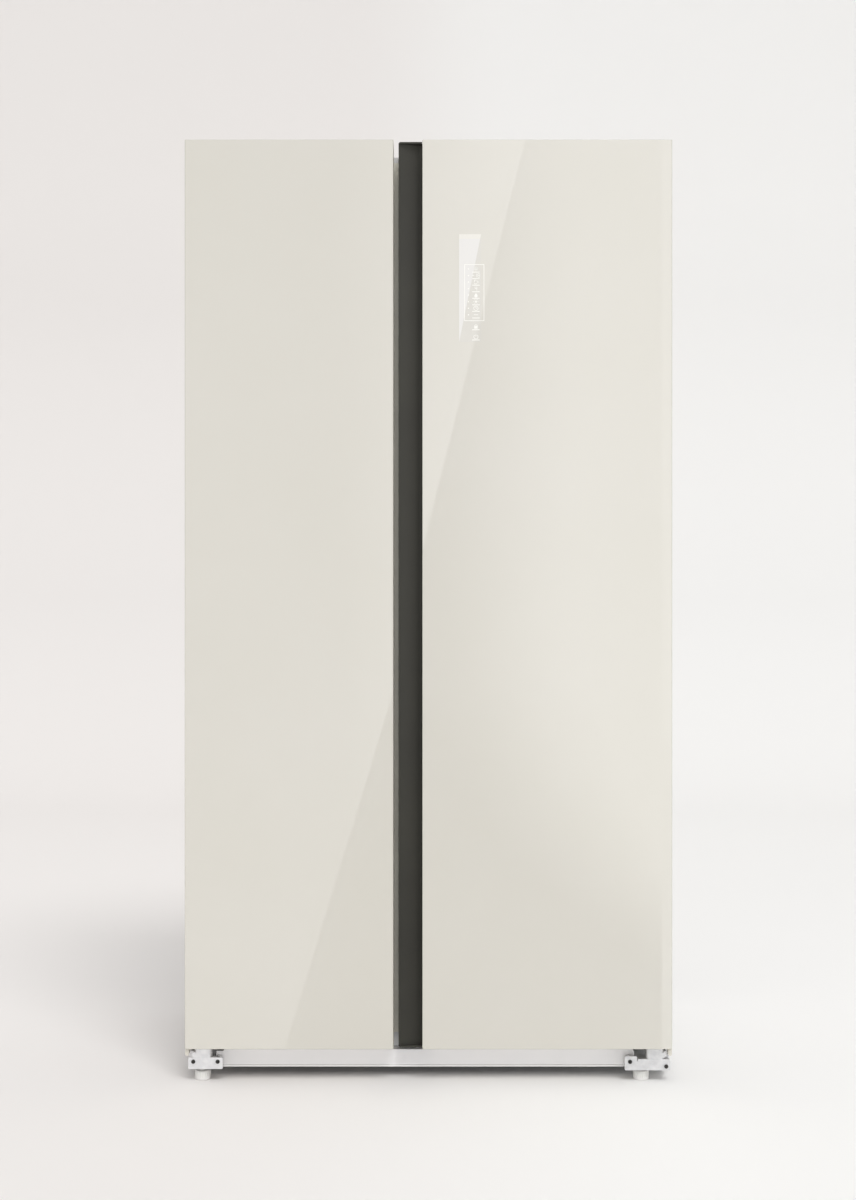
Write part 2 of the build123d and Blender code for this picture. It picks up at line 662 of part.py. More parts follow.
CONDENSER_X = (-110.0, 40.0)
CONDENSER_Y = (130.0, 270.0)
CONDENSER_Z = (42.0, 182.0)
CONDENSER_FINS = 16
CONDENSER_ROWS = 4
CONDENSER_MID_Y = sum(CONDENSER_Y) / 2
CONDENSER_MID_Z = sum(CONDENSER_Z) / 2
SHROUD_X = (62.0, 92.0)
FAN_GAP = 4.0
FAN_DEPTH = 22.0
FAN_HUB = 18.0
BLADE_SHEET = 1.8
BLADE_PITCH = 38.0
BLADE_CHORD = 1.15
BLADE_ROOT = 2.0
SHAFT_LENGTH = 10.0
SHAFT_WELL = 12.0
CONDENSER_FAN_RADIUS = 60.0
CONDENSER_FAN_BLADES = 7
MOTOR_RADIUS = 20.0
MOTOR_LENGTH = 26.0
STRUT = 8.0
STRUT_DEPTH = 6.0
STRUT_INSET = 4.0


def fan_shroud():
    """Square shroud with a round throat, a cross strut and the fan's motor."""
    body = block(SHROUD_X, CONDENSER_Y, (MACHINE_FLOOR + RAIL_SHEET, CONDENSER_Z[1]))
    throat = CONDENSER_FAN_RADIUS + FAN_GAP
    body -= rod_x(grown(SHROUD_X, CUT), CONDENSER_MID_Y, CONDENSER_MID_Z, throat)
    rear = SHROUD_X[1]
    motor = rod_x((rear, rear + MOTOR_LENGTH), CONDENSER_MID_Y, CONDENSER_MID_Z, MOTOR_RADIUS)
    well_x = (rear - CUT, rear + SHAFT_WELL)
    motor -= rod_x(well_x, CONDENSER_MID_Y, CONDENSER_MID_Z, PIPE_RADIUS + MOVING_GAP)
    strut_x = (rear, rear + STRUT_DEPTH)
    strut = block(strut_x, grown(CONDENSER_Y, -STRUT_INSET), about(CONDENSER_MID_Z, STRUT / 2))
    strut -= rod_x(grown(strut_x, CUT), CONDENSER_MID_Y, CONDENSER_MID_Z, MOTOR_RADIUS - STRUT_INSET)
    return body + (motor + strut)


def fan_wheel(radius, blades):
    """A fan wheel about local Z with a stub shaft towards +Z."""
    wheel = Cylinder(FAN_HUB, FAN_DEPTH)
    length = radius - FAN_HUB + 2 * BLADE_ROOT
    middle = FAN_HUB - BLADE_ROOT + length / 2
    for count in range(blades):
        blade = Rot(BLADE_PITCH, 0, 0) * Box(length, FAN_DEPTH * BLADE_CHORD, BLADE_SHEET)
        wheel += Rot(0, 0, 360 / blades * count) * Pos(middle, 0, 0) * blade
    wheel &= Cylinder(radius, FAN_DEPTH)
    return wheel + Pos(0, 0, (FAN_DEPTH + SHAFT_LENGTH) / 2) * Cylinder(PIPE_RADIUS, SHAFT_LENGTH)


def condenser_fan():
    x = SHROUD_X[1] - MOVING_GAP - FAN_DEPTH / 2
    place = Pos(x, CONDENSER_MID_Y, CONDENSER_MID_Z) * Rot(0, 90, 0)
    return place * fan_wheel(CONDENSER_FAN_RADIUS, CONDENSER_FAN_BLADES)


DRAIN_X = (160.0, 360.0)
DRAIN_Y = (105.0, 220.0)
DRAIN_Z = (MACHINE_FLOOR + RAIL_SHEET, 68.0)
DRAIN_WALL = 2.5
DRAIN_CORNER = 8.0


def drain_pan():
    pan = softened(block(DRAIN_X, DRAIN_Y, DRAIN_Z), DRAIN_CORNER, Axis.Z)
    hollow_z = (DRAIN_Z[0] + DRAIN_WALL, DRAIN_Z[1] + CUT)
    hollow = block(grown(DRAIN_X, -DRAIN_WALL), grown(DRAIN_Y, -DRAIN_WALL), hollow_z)
    return pan - softened(hollow, DRAIN_CORNER - DRAIN_WALL, Axis.Z)


# Rear cover of the machine room

REAR_COVER_X = (-440.0, 440.0)
REAR_COVER_Z = (38.0, 268.0)
REAR_COVER_CORNER = 8.0
REAR_COVER_SLOPE = 4.0
REAR_FLANGE = 10.0
REAR_SHEET = 1.6
REAR_SIDE_WALL = 3.6
LOUVRE_ROWS = 9
LOUVRE_MARGIN = 35.0
LOUVRE_SIZE = (150.0, 6.0)
LOUVRE_ROUND = 2.9
LOUVRE_CENTRES = (-290.0, -95.0, 100.0)
GLAND_X = 330.0
GLAND_Z = 110.0
GLAND_RADIUS = 11.0
GLAND_NECK = 8.0
GLAND_BORE = 4.5
GLAND_COLLAR = 4.0


def louvres():
    pitch = (REAR_COVER_Z[1] - REAR_COVER_Z[0] - 2 * LOUVRE_MARGIN) / (LOUVRE_ROWS - 1)
    slots = []
    for centre in LOUVRE_CENTRES:
        for row in range(LOUVRE_ROWS):
            z = REAR_COVER_Z[0] + LOUVRE_MARGIN + row * pitch
            slot_x = about(centre, LOUVRE_SIZE[0] / 2)
            slot = block(slot_x, about(REAR, 2 * REAR_SHEET), about(z, LOUVRE_SIZE[1] / 2))
            slots.append(softened(slot, LOUVRE_ROUND, Axis.Y))
    return slots


def machine_room_cover():
    """Louvred sheet on a flanged rim of four sides."""
    seat, inside = CABINET_BACK - SHEET, REAR - REAR_SHEET
    flange_x = grown(REAR_COVER_X, REAR_FLANGE)
    flange_z = grown(REAR_COVER_Z, REAR_FLANGE)
    flange = block(flange_x, (seat, seat + REAR_SHEET), flange_z)
    bulge = softened(block(REAR_COVER_X, (seat, REAR), REAR_COVER_Z), REAR_COVER_CORNER, Axis.Y)
    cover = flange + chamfer(bulge.faces().sort_by(Axis.Y)[-1].edges(), REAR_COVER_SLOPE)
    hollow_x = grown(REAR_COVER_X, -REAR_SIDE_WALL)
    hollow_z = grown(REAR_COVER_Z, -REAR_SIDE_WALL)
    sheet = cover & block(flange_x, (inside, REAR), flange_z)
    for slot in louvres():
        sheet -= slot
    sheet -= rod_y(GLAND_X, about(REAR, GLAND_NECK), GLAND_Z, GLAND_NECK)
    rims = [((flange_x[0], hollow_x[0]), flange_z), ((hollow_x[1], flange_x[1]), flange_z)]
    rims += [(hollow_x, (flange_z[0], hollow_z[0])), (hollow_x, (hollow_z[1], flange_z[1]))]
    return [sheet, *(cover & block(rim_x, (seat, inside), rim_z) for rim_x, rim_z in rims)]


def cord_gland():
    """Grommet for the supply cord, seated in the rear cover's hole."""
    seat = REAR - REAR_SHEET
    collar = rod_y(GLAND_X, (seat - GLAND_COLLAR, seat), GLAND_Z, GLAND_RADIUS)
    neck = rod_y(GLAND_X, (seat, REAR), GLAND_Z, GLAND_NECK)
    return collar + neck - rod_y(GLAND_X, grown((seat - GLAND_COLLAR, REAR), CUT), GLAND_Z, GLAND_BORE)


# Air side

EVAPORATOR_X = grown(FREEZER_X, -22.0)
EVAPORATOR_Y = (202.0, 254.0)
EVAPORATOR_Z = (362.0, 590.0)
EVAPORATOR_FINS = 20
EVAPORATOR_ROWS = 5
DUCT_SHEET = 3.0
DUCT_SLOPE = 8.0
FREEZER_MIDDLE = sum(FREEZER_X) / 2
FRIDGE_MIDDLE = sum(FRIDGE_X) / 2
FREEZER_FAN_Z = 710.0
FREEZER_FAN_RADIUS = 52.0
FREEZER_FAN_BLADES = 5
FREEZER_MOTOR_LENGTH = 20.0
GUARD_RINGS = (28.0, 40.0)
GUARD_BAR = 3.0
VENT_HALF = 70.0
VENT_HEIGHT = 9.0
VENT_PITCH = 16.2
VENT_Z = (790.0, 1040.0, 1300.0, 1590.0)
FRIDGE_DUCT_HALF = 105.0
FRIDGE_DUCT_Z = (630.0, CAVITY_TOP - 20.0)


def duct_vents(centre, y, heights):
    vents = []
    for height in heights:
        for row in (-1, 0, 1):
            z = height + row * VENT_PITCH
            vent_y = about(y, 2 * DUCT_SHEET)
            vents.append(block(about(centre, VENT_HALF), vent_y, about(z, VENT_HEIGHT / 2)))
    return vents


def fan_guard_gaps():
    """The open rings of the guard in front of the freezer's fan."""
    hole_y = about(FREEZER_DUCT_Y, 2 * DUCT_SHEET)

    def disc(radius):
        return rod_y(FREEZER_MIDDLE, hole_y, FREEZER_FAN_Z, radius)

    gaps = disc(FREEZER_FAN_RADIUS) - disc(MOTOR_RADIUS)
    for radius in GUARD_RINGS:
        gaps -= disc(radius + GUARD_BAR) - disc(radius)
    spoke_x = about(FREEZER_MIDDLE, FREEZER_FAN_RADIUS)
    return gaps - block(spoke_x, hole_y, about(FREEZER_FAN_Z, STRUT / 2))


def freezer_duct_panel():
    """Front wall of the freezer's air duct, with vents, fan guard, fan motor and side returns."""
    x = grown(FREEZER_X, -DUCT_CLEAR)
    z = (STEP_FLOOR + LINER_FLOOR_CORNER, CAVITY_TOP - LINER_CORNER)
    back = FREEZER_DUCT_Y + DUCT_SHEET
    panel = block(x, (FREEZER_DUCT_Y, back), z)
    return_y = (back, DAMPER_Y[0] - DUCT_CLEAR)
    returns = [block((edge, edge + inward * DUCT_SHEET), return_y, z) for edge, inward in inner_walls(x)]
    for vent in duct_vents(FREEZER_MIDDLE, FREEZER_DUCT_Y, VENT_Z[1:]):
        panel -= vent
    panel -= fan_guard_gaps()
    motor_end = back + FREEZER_MOTOR_LENGTH
    motor = rod_y(FREEZER_MIDDLE, (back, motor_end), FREEZER_FAN_Z, MOTOR_RADIUS)
    well_y = (motor_end - SHAFT_WELL, motor_end + CUT)
    motor -= rod_y(FREEZER_MIDDLE, well_y, FREEZER_FAN_Z, PIPE_RADIUS + MOVING_GAP)
    return [panel, motor, *returns]


def evaporator_fan():
    motor_end = FREEZER_DUCT_Y + DUCT_SHEET + FREEZER_MOTOR_LENGTH
    place = Pos(FREEZER_MIDDLE, motor_end + MOVING_GAP + FAN_DEPTH / 2, FREEZER_FAN_Z) * Rot(90, 0, 0)
    return place * fan_wheel(FREEZER_FAN_RADIUS, FREEZER_FAN_BLADES)


def fridge_duct_panel():
    x = about(FRIDGE_MIDDLE, FRIDGE_DUCT_HALF)
    panel = block(x, (FRIDGE_DUCT_Y, CAVITY_BACK), FRIDGE_DUCT_Z)
    panel = chamfer(panel.faces().sort_by(Axis.Y)[0].edges(), DUCT_SLOPE)
    hollow_y = (FRIDGE_DUCT_Y + DUCT_SHEET, CAVITY_BACK + CUT)
    panel -= block(grown(x, -DUCT_SLOPE), hollow_y, grown(FRIDGE_DUCT_Z, -DUCT_SLOPE))
    for vent in duct_vents(FRIDGE_MIDDLE, FRIDGE_DUCT_Y, VENT_Z):
        panel -= vent
    return panel


DAMPER_AXLE = 3.0
DAMPER_LEAF_HALF = 1.2
DAMPER_MID_Z = sum(DAMPER_Z) / 2


def damper_frame():
    x = grown(MULLION_SPAN, LINER)
    frame = block(x, DAMPER_Y, DAMPER_Z)
    frame -= block(grown(x, CUT), grown(DAMPER_Y, -DAMPER_WALL), grown(DAMPER_Z, -DAMPER_WALL))
    return frame - rod_y(MULLION_X, grown(DAMPER_Y, CUT), DAMPER_MID_Z, DAMPER_AXLE + RUNNING_GAP)


def damper_flap():
    """The flap closes the passage upright and turns on its axle along Y."""
    inset = DAMPER_WALL + MOVING_GAP
    leaf = block(about(MULLION_X, DAMPER_LEAF_HALF), grown(DAMPER_Y, -inset), grown(DAMPER_Z, -inset))
    return leaf + rod_y(MULLION_X, DAMPER_Y, DAMPER_MID_Z, DAMPER_AXLE)


# Shelves and lamps

SHELF_CLEAR = 0.8
TRIM_HEIGHT = 14.0
TRIM_DEPTH = 10.0
TRIM_GRIP = 6.0
TRIM_ROUND = 4.0
LAMP_SIZE = (120.0, 40.0, 6.0)
LAMP_Y = -60.0
LAMP_CORNER = 8.0
LAMP_EDGE = 2.5


def shelf_panes(cavity, heights, back):
    x = grown(cavity, -SHELF_CLEAR)
    return [block(x, (SHELF_FRONT, back - DUCT_CLEAR), (z, z + SHELF_GLASS)) for z in heights]


def shelf_trims(cavity, heights):
    """Front edge mouldings, each slotted over its pane."""
    x = grown(cavity, -SHELF_CLEAR)
    trims = []
    for z in heights:
        bar_y = (SHELF_FRONT - TRIM_DEPTH, SHELF_FRONT + TRIM_GRIP)
        bar = block(x, bar_y, about(z + SHELF_GLASS / 2, TRIM_HEIGHT / 2))
        bar = fillet(bar.faces().sort_by(Axis.Y)[0].edges().filter_by(Axis.X), TRIM_ROUND)
        slot_y = (SHELF_FRONT, bar_y[1] + CUT)
        for wall, inward in inner_walls(cavity):
            ledge_x = (wall, wall + inward * (LEDGE_WIDTH + SHELF_CLEAR))
            bar -= block(ledge_x, slot_y, (z - TRIM_HEIGHT, z))
        trims.append(bar - block(x, slot_y, (z, z + SHELF_GLASS)))
    return trims


def lamp_lens(middle):
    lens_z = (CAVITY_TOP - LAMP_SIZE[2], CAVITY_TOP)
    lens = block(about(middle, LAMP_SIZE[0] / 2), about(LAMP_Y, LAMP_SIZE[1] / 2), lens_z)
    lens = softened(lens, LAMP_CORNER, Axis.Z)
    return fillet(lens.faces().sort_by(Axis.Z)[0].edges(), LAMP_EDGE)


# Drawers

DRAWER_FRONT = -150.0
DRAWER_SIDE_GAP = 4.0
DRAWER_WALL = 2.5
DRAWER_FRONT_WALL = 8.0
DRAWER_CORNER = 10.0
DRAWER_LIP = 12.0
DRAWER_LIP_HEIGHT = 16.0
DRAWER_LIP_WALL = 4.0
DRAWER_LIP_ROUND = 5.0
DRAWER_LIP_INSET = 12.0
DRAWER_FINGER_INSET = 20.0
DRAWER_LOW_Z = (CAVITY_FLOOR + RUNNER_HEIGHT + MOVING_GAP, 322.0)
DRAWER_HIGH_Z = (DRAWER_LEDGE_Z + MOVING_GAP, 556.0)
DRAWER_LOW_BACK = STEP_WALL_Y - DRAWER_REAR_GAP
DRAWER_HIGH_BACK = FREEZER_DUCT_Y - DRAWER_REAR_GAP


def drawer(cavity, back, z):
    """An open-topped drawer with rounded corners and a pull lip along its front."""
    x = grown(cavity, -DRAWER_SIDE_GAP)
    body = softened(block(x, (DRAWER_FRONT, back), z), DRAWER_CORNER, Axis.Z)
    hollow_y = (DRAWER_FRONT + DRAWER_FRONT_WALL, back - DRAWER_WALL)
    hollow = block(grown(x, -DRAWER_WALL), hollow_y, (z[0] + DRAWER_WALL, z[1] + CUT))
    body -= softened(hollow, DRAWER_CORNER - DRAWER_WALL, Axis.Z)
    lip_front = DRAWER_FRONT - DRAWER_LIP
    lip_foot = z[1] - DRAWER_LIP_HEIGHT
    lip = block(grown(x, -DRAWER_LIP_INSET), (lip_front, hollow_y[0]), (lip_foot, z[1]))
    lip = fillet(lip.faces().sort_by(Axis.Y)[0].edges().filter_by(Axis.X), DRAWER_LIP_ROUND)
    finger_y = (lip_front + DRAWER_LIP_WALL, DRAWER_FRONT)
    finger = block(grown(x, -DRAWER_FINGER_INSET), finger_y, (lip_foot - CUT, z[1] - DRAWER_LIP_WALL))
    return body + (lip - finger)


# Door shells

DOOR_Z = (DOOR_BOTTOM, HEIGHT)
CORE_Z = (DOOR_BOTTOM + CAP, HEIGHT - CAP)
GLASS_REVEAL = 0.6
GLASS_CORNER = 2.5
GLASS_EDGE = 1.0
PROFILE_FLANGE = 14.0
CORNER_ROUND = 3.0
SAME_PLACE = 0.01


def door_glass(side, width):
    pane_x = across(side, GLASS_REVEAL, width - GLASS_REVEAL)
    pane = softened(block(pane_x, (FRONT, GLASS_BACK), grown(DOOR_Z, -GLASS_REVEAL)), GLASS_CORNER, Axis.Y)
    return fillet(pane.faces().sort_by(Axis.Y)[0].edges(), GLASS_EDGE)


def rear_corner_rounded(shell):
    """A door shell with its outer rear corner rounded."""
    upright_edges = shell.edges().filter_by(Axis.Z)
    outer = upright_edges.filter_by(lambda edge: abs(abs(edge.center().X) - HALF) < SAME_PLACE)
    return fillet(outer.sort_by(Axis.Y)[-1:], CORNER_ROUND)


def hinge_profile(side):
    """C-section along the hinge side of a door."""
    body = rear_corner_rounded(block(across(side, 0, PROFILE_FLANGE), (GLASS_BACK, DOOR_BACK), CORE_Z))
    hollow_x = across(side, SKIN, PROFILE_FLANGE + CUT)
    return body - block(hollow_x, grown((GLASS_BACK, DOOR_BACK), -SKIN), grown(CORE_Z, CUT))


# Opening edge of the freezer door

GROOVE_LIP = 8.0
GROOVE_DEPTH = 13.0
GROOVE_SLOPE = 3.0
GROOVE_BACK = 18.0
GROOVE_END_Y = -280.0
GROOVE_OUTREACH = 20.0
FREEZER_EDGE = -HALF + FREEZER_DOOR_WIDTH
FREEZER_EDGE_DEPTH = GROOVE_DEPTH + 3 * SKIN


def groove_outline(skin):
    """The finger groove behind the freezer door's opening edge, drawn in by a skin."""
    edge = FREEZER_EDGE - skin
    front = GLASS_BACK + GROOVE_LIP
    deep = edge - GROOVE_DEPTH
    return [
        (edge + GROOVE_OUTREACH, front - skin),
        (edge, front - skin),
        (deep, front + GROOVE_SLOPE - skin),
        (deep, front + GROOVE_BACK),
        (edge, GROOVE_END_Y + skin),
        (edge + GROOVE_OUTREACH, GROOVE_END_Y + skin),
    ]


def grip_profile():
    """Opening-side profile of the freezer door, with its finger groove."""
    inner = FREEZER_EDGE - FREEZER_EDGE_DEPTH
    body = block((inner, FREEZER_EDGE), (GLASS_BACK, DOOR_BACK), CORE_Z)
    body -= prism_z(groove_outline(0), grown(CORE_Z, CUT))
    hollow_x = (inner - CUT, FREEZER_EDGE - SKIN)
    hollow = block(hollow_x, grown((GLASS_BACK, DOOR_BACK), -SKIN), grown(CORE_Z, CUT))
    hollow -= prism_z(groove_outline(SKIN), grown(CORE_Z, 2 * CUT))
    seat_x = (inner - CUT, FREEZER_EDGE - PROFILE_FLANGE)
    liner_seat = block(seat_x, (DOOR_BACK - SKIN, DOOR_BACK + CUT), grown(CORE_Z, CUT))
    return body - hollow - liner_seat


# Grip channel of the fridge door

CHANNEL_Z = (DOOR_BOTTOM + 2.0, HEIGHT - 2.5)
CHANNEL_END_WALL = 3.0
CHANNEL_END_Y = (FRONT + 11.0, FRONT + 40.0)
CHANNEL_CORNER = 2.5
CHANNEL_LIP_Y = FRONT + 15.0
CHANNEL_FLOOR_Y = FRONT + 25.0
CHANNEL_LIP = 3.5
CHANNEL_SLOPE = 36.0
CHANNEL_UNDERCUT = 14.0
CHANNEL_UNDERCUT_START = 4.0
CHANNEL_UNDERCUT_RISE = 7.0
CHANNEL_WALL = 2.5
CHANNEL_GLASS_SEAT = 3.0
CHANNEL_OUTER = in_from(RIGHT, FRIDGE_DOOR_WIDTH)
GLASS_FREE_EDGE = in_from(RIGHT, FRIDGE_GLASS_WIDTH)
CHANNEL_INNER = GLASS_FREE_EDGE + CHANNEL_UNDERCUT + CHANNEL_WALL


def channel_surface(wall):
    """The channel's visible face, set in by a wall: lip, slope, floor, undercut behind the glass."""
    lip_end = CHANNEL_OUTER + CHANNEL_LIP
    undercut = GLASS_FREE_EDGE + CHANNEL_UNDERCUT - wall
    return [
        (CHANNEL_OUTER + wall, CHANNEL_LIP_Y + wall),
        (lip_end, CHANNEL_LIP_Y + wall),
        (lip_end + CHANNEL_SLOPE, CHANNEL_FLOOR_Y + wall),
        (GLASS_FREE_EDGE + CHANNEL_UNDERCUT_START, CHANNEL_FLOOR_Y + wall),
        (undercut, CHANNEL_FLOOR_Y - CHANNEL_UNDERCUT_RISE + wall),
    ]


def grip_channel():
    """Full-height grip moulding on the fridge door's opening side, closed at both ends."""
    seat_edge = GLASS_FREE_EDGE + GLASS_REVEAL
    seat_y = GLASS_BACK + CHANNEL_GLASS_SEAT
    solid = prism_z(channel_surface(0) + [
        (GLASS_FREE_EDGE + CHANNEL_UNDERCUT, seat_y),
        (seat_edge, seat_y),
        (seat_edge, GLASS_BACK),
        (CHANNEL_INNER, GLASS_BACK),
        (CHANNEL_INNER, DOOR_BACK),
        (CHANNEL_OUTER, DOOR_BACK),
    ], CHANNEL_Z)
    end_x = (CHANNEL_OUTER, GLASS_FREE_EDGE)
    solid += block(end_x, CHANNEL_END_Y, (CHANNEL_Z[0], CHANNEL_Z[0] + CHANNEL_END_WALL))
    solid += block(end_x, CHANNEL_END_Y, (CHANNEL_Z[1] - CHANNEL_END_WALL, CHANNEL_Z[1]))
    outer_ends = solid.edges().filter_by(Axis.Y).group_by(Axis.X)[0].sort_by(Axis.Z)
    solid = chamfer([outer_ends[0], outer_ends[-1]], CHANNEL_CORNER)
    core = prism_z(channel_surface(CHANNEL_WALL) + [
        (CHANNEL_INNER + CUT, CHANNEL_FLOOR_Y - CHANNEL_UNDERCUT_RISE + CHANNEL_WALL),
        (CHANNEL_INNER + CUT, DOOR_BACK - SKIN),
        (CHANNEL_OUTER + CHANNEL_WALL, DOOR_BACK - SKIN),
    ], CORE_Z)
    seat_x = (CHANNEL_OUTER + PROFILE_FLANGE, CHANNEL_INNER + CUT)
    return solid - core - block(seat_x, (DOOR_BACK - SKIN - CUT, DOOR_BACK + CUT), CORE_Z)


# Door end caps

CAP_WALL = 3.0
HINGE_BLOCK = 78.0
POCKET_FLOOR = CABINET_TOP - 2.0
POCKET_WIDTH = HINGE_INSET + 12.0
POCKET_FRONT = FRONT + 10.0
PIN_END_GAP = 2.0
EAR_SPAN = (0.5, 7.5)
EAR_Y = (GLASS_BACK, GLASS_BACK + 20.0)
EAR_DROP = 12.5
EAR_ROUND = 3.0
CAP_WIDTH = {LEFT: FREEZER_DOOR_WIDTH, RIGHT: FRIDGE_GLASS_WIDTH - CHANNEL_UNDERCUT - CHANNEL_WALL}
CAP_END = {LEFT: FREEZER_EDGE_DEPTH, RIGHT: CAP_WALL}


def cap_hollow(side, z):
    """The hollow of an end cap, between the block round its hinge pin and its solid opening end."""
    hollow_x = across(side, HINGE_BLOCK, CAP_WIDTH[side] - CAP_END[side])
    return block(hollow_x, grown((GLASS_BACK, DOOR_BACK), -CAP_WALL), z)


def cap_shell(side, z, hollow_z):
    """A hollow end cap, whose opening end also closes the freezer door's finger groove."""
    cap = rear_corner_rounded(block(across(side, 0, CAP_WIDTH[side]), (GLASS_BACK, DOOR_BACK), z))
    return cap - cap_hollow(side, hollow_z)


def pin_bore(side, z):
    return upright(in_from(side, HINGE_INSET), HINGE_Y, z, PIN_RADIUS + RUNNING_GAP)


def top_cap(side):
    """Upper end cap, with the pocket that the upper hinge's arm lies in."""
    cap = cap_shell(side, (CORE_Z[1], HEIGHT), (CORE_Z[1] - CUT, HEIGHT - CAP_WALL))
    pocket_y = (POCKET_FRONT, DOOR_BACK + CUT)
    pocket = block(across(side, -CUT, POCKET_WIDTH), pocket_y, (POCKET_FLOOR, HEIGHT + CUT))
    return cap - pocket - pin_bore(side, (CORE_Z[1] - CUT, POCKET_FLOOR + CUT))


def bottom_cap(side):
    """Lower end cap, with the ear that covers the hinge from the side."""
    cap = cap_shell(side, (DOOR_BOTTOM, CORE_Z[0]), (DOOR_BOTTOM + CAP_WALL, CORE_Z[0] + CUT))
    ear = block(across(side, *EAR_SPAN), EAR_Y, (DOOR_BOTTOM - EAR_DROP, DOOR_BOTTOM + CUT))
    ear = fillet(ear.faces().sort_by(Axis.Z)[0].edges().filter_by(Axis.Y), EAR_ROUND)
    return cap + ear - pin_bore(side, (DOOR_BOTTOM - CUT, LOWER_PIN_TOP + PIN_END_GAP))


# Door seals and inner door skins

GASKET_Z = (88.0, 1717.0)
GASKET_WIDTH = 16.0
GASKET_HINGE_INSET = HINGE_INSET + 1.0
GASKET_OPEN_INSET = 5.0
GASKET_NECK = 3.0
GASKET_ROOT = 4.0
GASKET_BULB = 5.0
DYKE_INSET = 70.0
DYKE_OPEN = {LEFT: 350.0, RIGHT: 470.0}
DYKE_Z = (575.0, 1675.0)
DYKE_WIDTH = 26.0
DYKE_DEPTH = 40.0
DYKE_SKIN = 2 * SKIN
DYKE_CORNER = 12.0
DYKE_EDGE = 6.0
EMBOSS = 3.0
EMBOSS_SLOPE = 2.4
EMBOSS_Z = (140.0, 540.0)
EMBOSS_INSET = 20.0
DYKE_CORE_Y = (DOOR_BACK - SKIN, DOOR_BACK + DYKE_DEPTH - DYKE_SKIN)


def frame_ring(x, y, z, width):
    return block(x, y, z) - block(grown(x, -width), grown(y, CUT), grown(z, -width))


def gasket(side, width):
    """Magnetic seal: root on the door, narrow bellows, magnet bulb on the cabinet side."""
    x = across(side, GASKET_HINGE_INSET, width - GASKET_OPEN_INSET)
    neck_y = (DOOR_BACK + GASKET_ROOT, CABINET_FRONT - GASKET_BULB)
    neck_width = GASKET_WIDTH - 2 * GASKET_NECK
    seal = frame_ring(x, (DOOR_BACK, neck_y[0]), GASKET_Z, GASKET_WIDTH)
    seal += frame_ring(grown(x, -GASKET_NECK), neck_y, grown(GASKET_Z, -GASKET_NECK), neck_width)
    return seal + frame_ring(x, (neck_y[1], CABINET_FRONT - MOVING_GAP), GASKET_Z, GASKET_WIDTH)


def dyke_cores(side, y):
    """The four bars inside the raised frame that holds the bins."""
    near = DYKE_INSET + DYKE_SKIN
    far = DYKE_OPEN[side] - DYKE_SKIN
    low, high = grown(DYKE_Z, -DYKE_SKIN)
    width = DYKE_WIDTH - 2 * DYKE_SKIN
    return [
        block(across(side, near, near + width), y, (low, high)),
        block(across(side, far - width, far), y, (low, high)),
        block(across(side, near + width, far - width), y, (low, low + width)),
        block(across(side, near + width, far - width), y, (high - width, high)),
    ]


def door_liner(side, width):
    """Inner skin of a door, with a raised frame for the bins and a raised lower panel."""
    sheet_x = across(side, PROFILE_FLANGE, width - PROFILE_FLANGE)
    sheet = block(sheet_x, (DOOR_BACK - SKIN, DOOR_BACK), CORE_Z)
    ring_x = across(side, DYKE_INSET, DYKE_OPEN[side])
    ring = block(ring_x, (DOOR_BACK - SKIN, DOOR_BACK + DYKE_DEPTH), DYKE_Z)
    ring = softened(ring, DYKE_CORNER, Axis.Y)
    ring = fillet(ring.faces().sort_by(Axis.Y)[-1].edges(), DYKE_EDGE)
    bay_y = (DOOR_BACK, DOOR_BACK + DYKE_DEPTH + CUT)
    ring -= block(grown(ring_x, -DYKE_WIDTH), bay_y, grown(DYKE_Z, -DYKE_WIDTH))
    panel = block(grown(ring_x, -EMBOSS_INSET), (DOOR_BACK, DOOR_BACK + EMBOSS), EMBOSS_Z)
    panel = chamfer(panel.faces().sort_by(Axis.Y)[-1].edges(), EMBOSS_SLOPE)
    skin = sheet + ring + panel
    for core in dyke_cores(side, (DYKE_CORE_Y[0] - CUT, DYKE_CORE_Y[1])):
        skin -= core
    return skin


# Door bins and the control module

BIN_PLACES = ((608.0, 130.0), (878.0, 95.0), (1140.0, 95.0), (1402.0, 95.0))
BIN_REACH = 94.0
BIN_WALL = 2.5
BIN_FIT = 0.6
BIN_CORNER = 14.0
DISPLAY_SPAN = (348.0, 400.0)
DISPLAY_Z = (1378.0, 1587.0)
DISPLAY_DEPTH = 8.0
DISPLAY_CORNER = 4.0


def door_bins(side):
    """Open-topped bins held between the door's raised bars."""
    x = grown(across(side, DYKE_INSET, DYKE_OPEN[side]), -DYKE_WIDTH - BIN_FIT)
    y = (DOOR_BACK + BIN_FIT, DOOR_BACK + BIN_REACH)
    bins = []
    for foot_z, height in BIN_PLACES:
        tub = block(x, y, (foot_z, foot_z + height))
        tub = fillet(tub.edges().filter_by(Axis.Z).group_by(Axis.Y)[-1], BIN_CORNER)
        hollow = block(grown(x, -BIN_WALL), grown(y, -BIN_WALL), (foot_z + BIN_WALL, foot_z + height + CUT))
        rear_edges = hollow.edges().filter_by(Axis.Z).group_by(Axis.Y)[-1]
        bins.append(tub - fillet(rear_edges, BIN_CORNER - BIN_WALL))
    return bins


def control_module():
    """Touch display board in its holder, bonded behind the fridge door's glass."""
    board_y = (GLASS_BACK, GLASS_BACK + DISPLAY_DEPTH)
    return softened(block(across(RIGHT, *DISPLAY_SPAN), board_y, DISPLAY_Z), DISPLAY_CORNER, Axis.Y)


# Door insulation

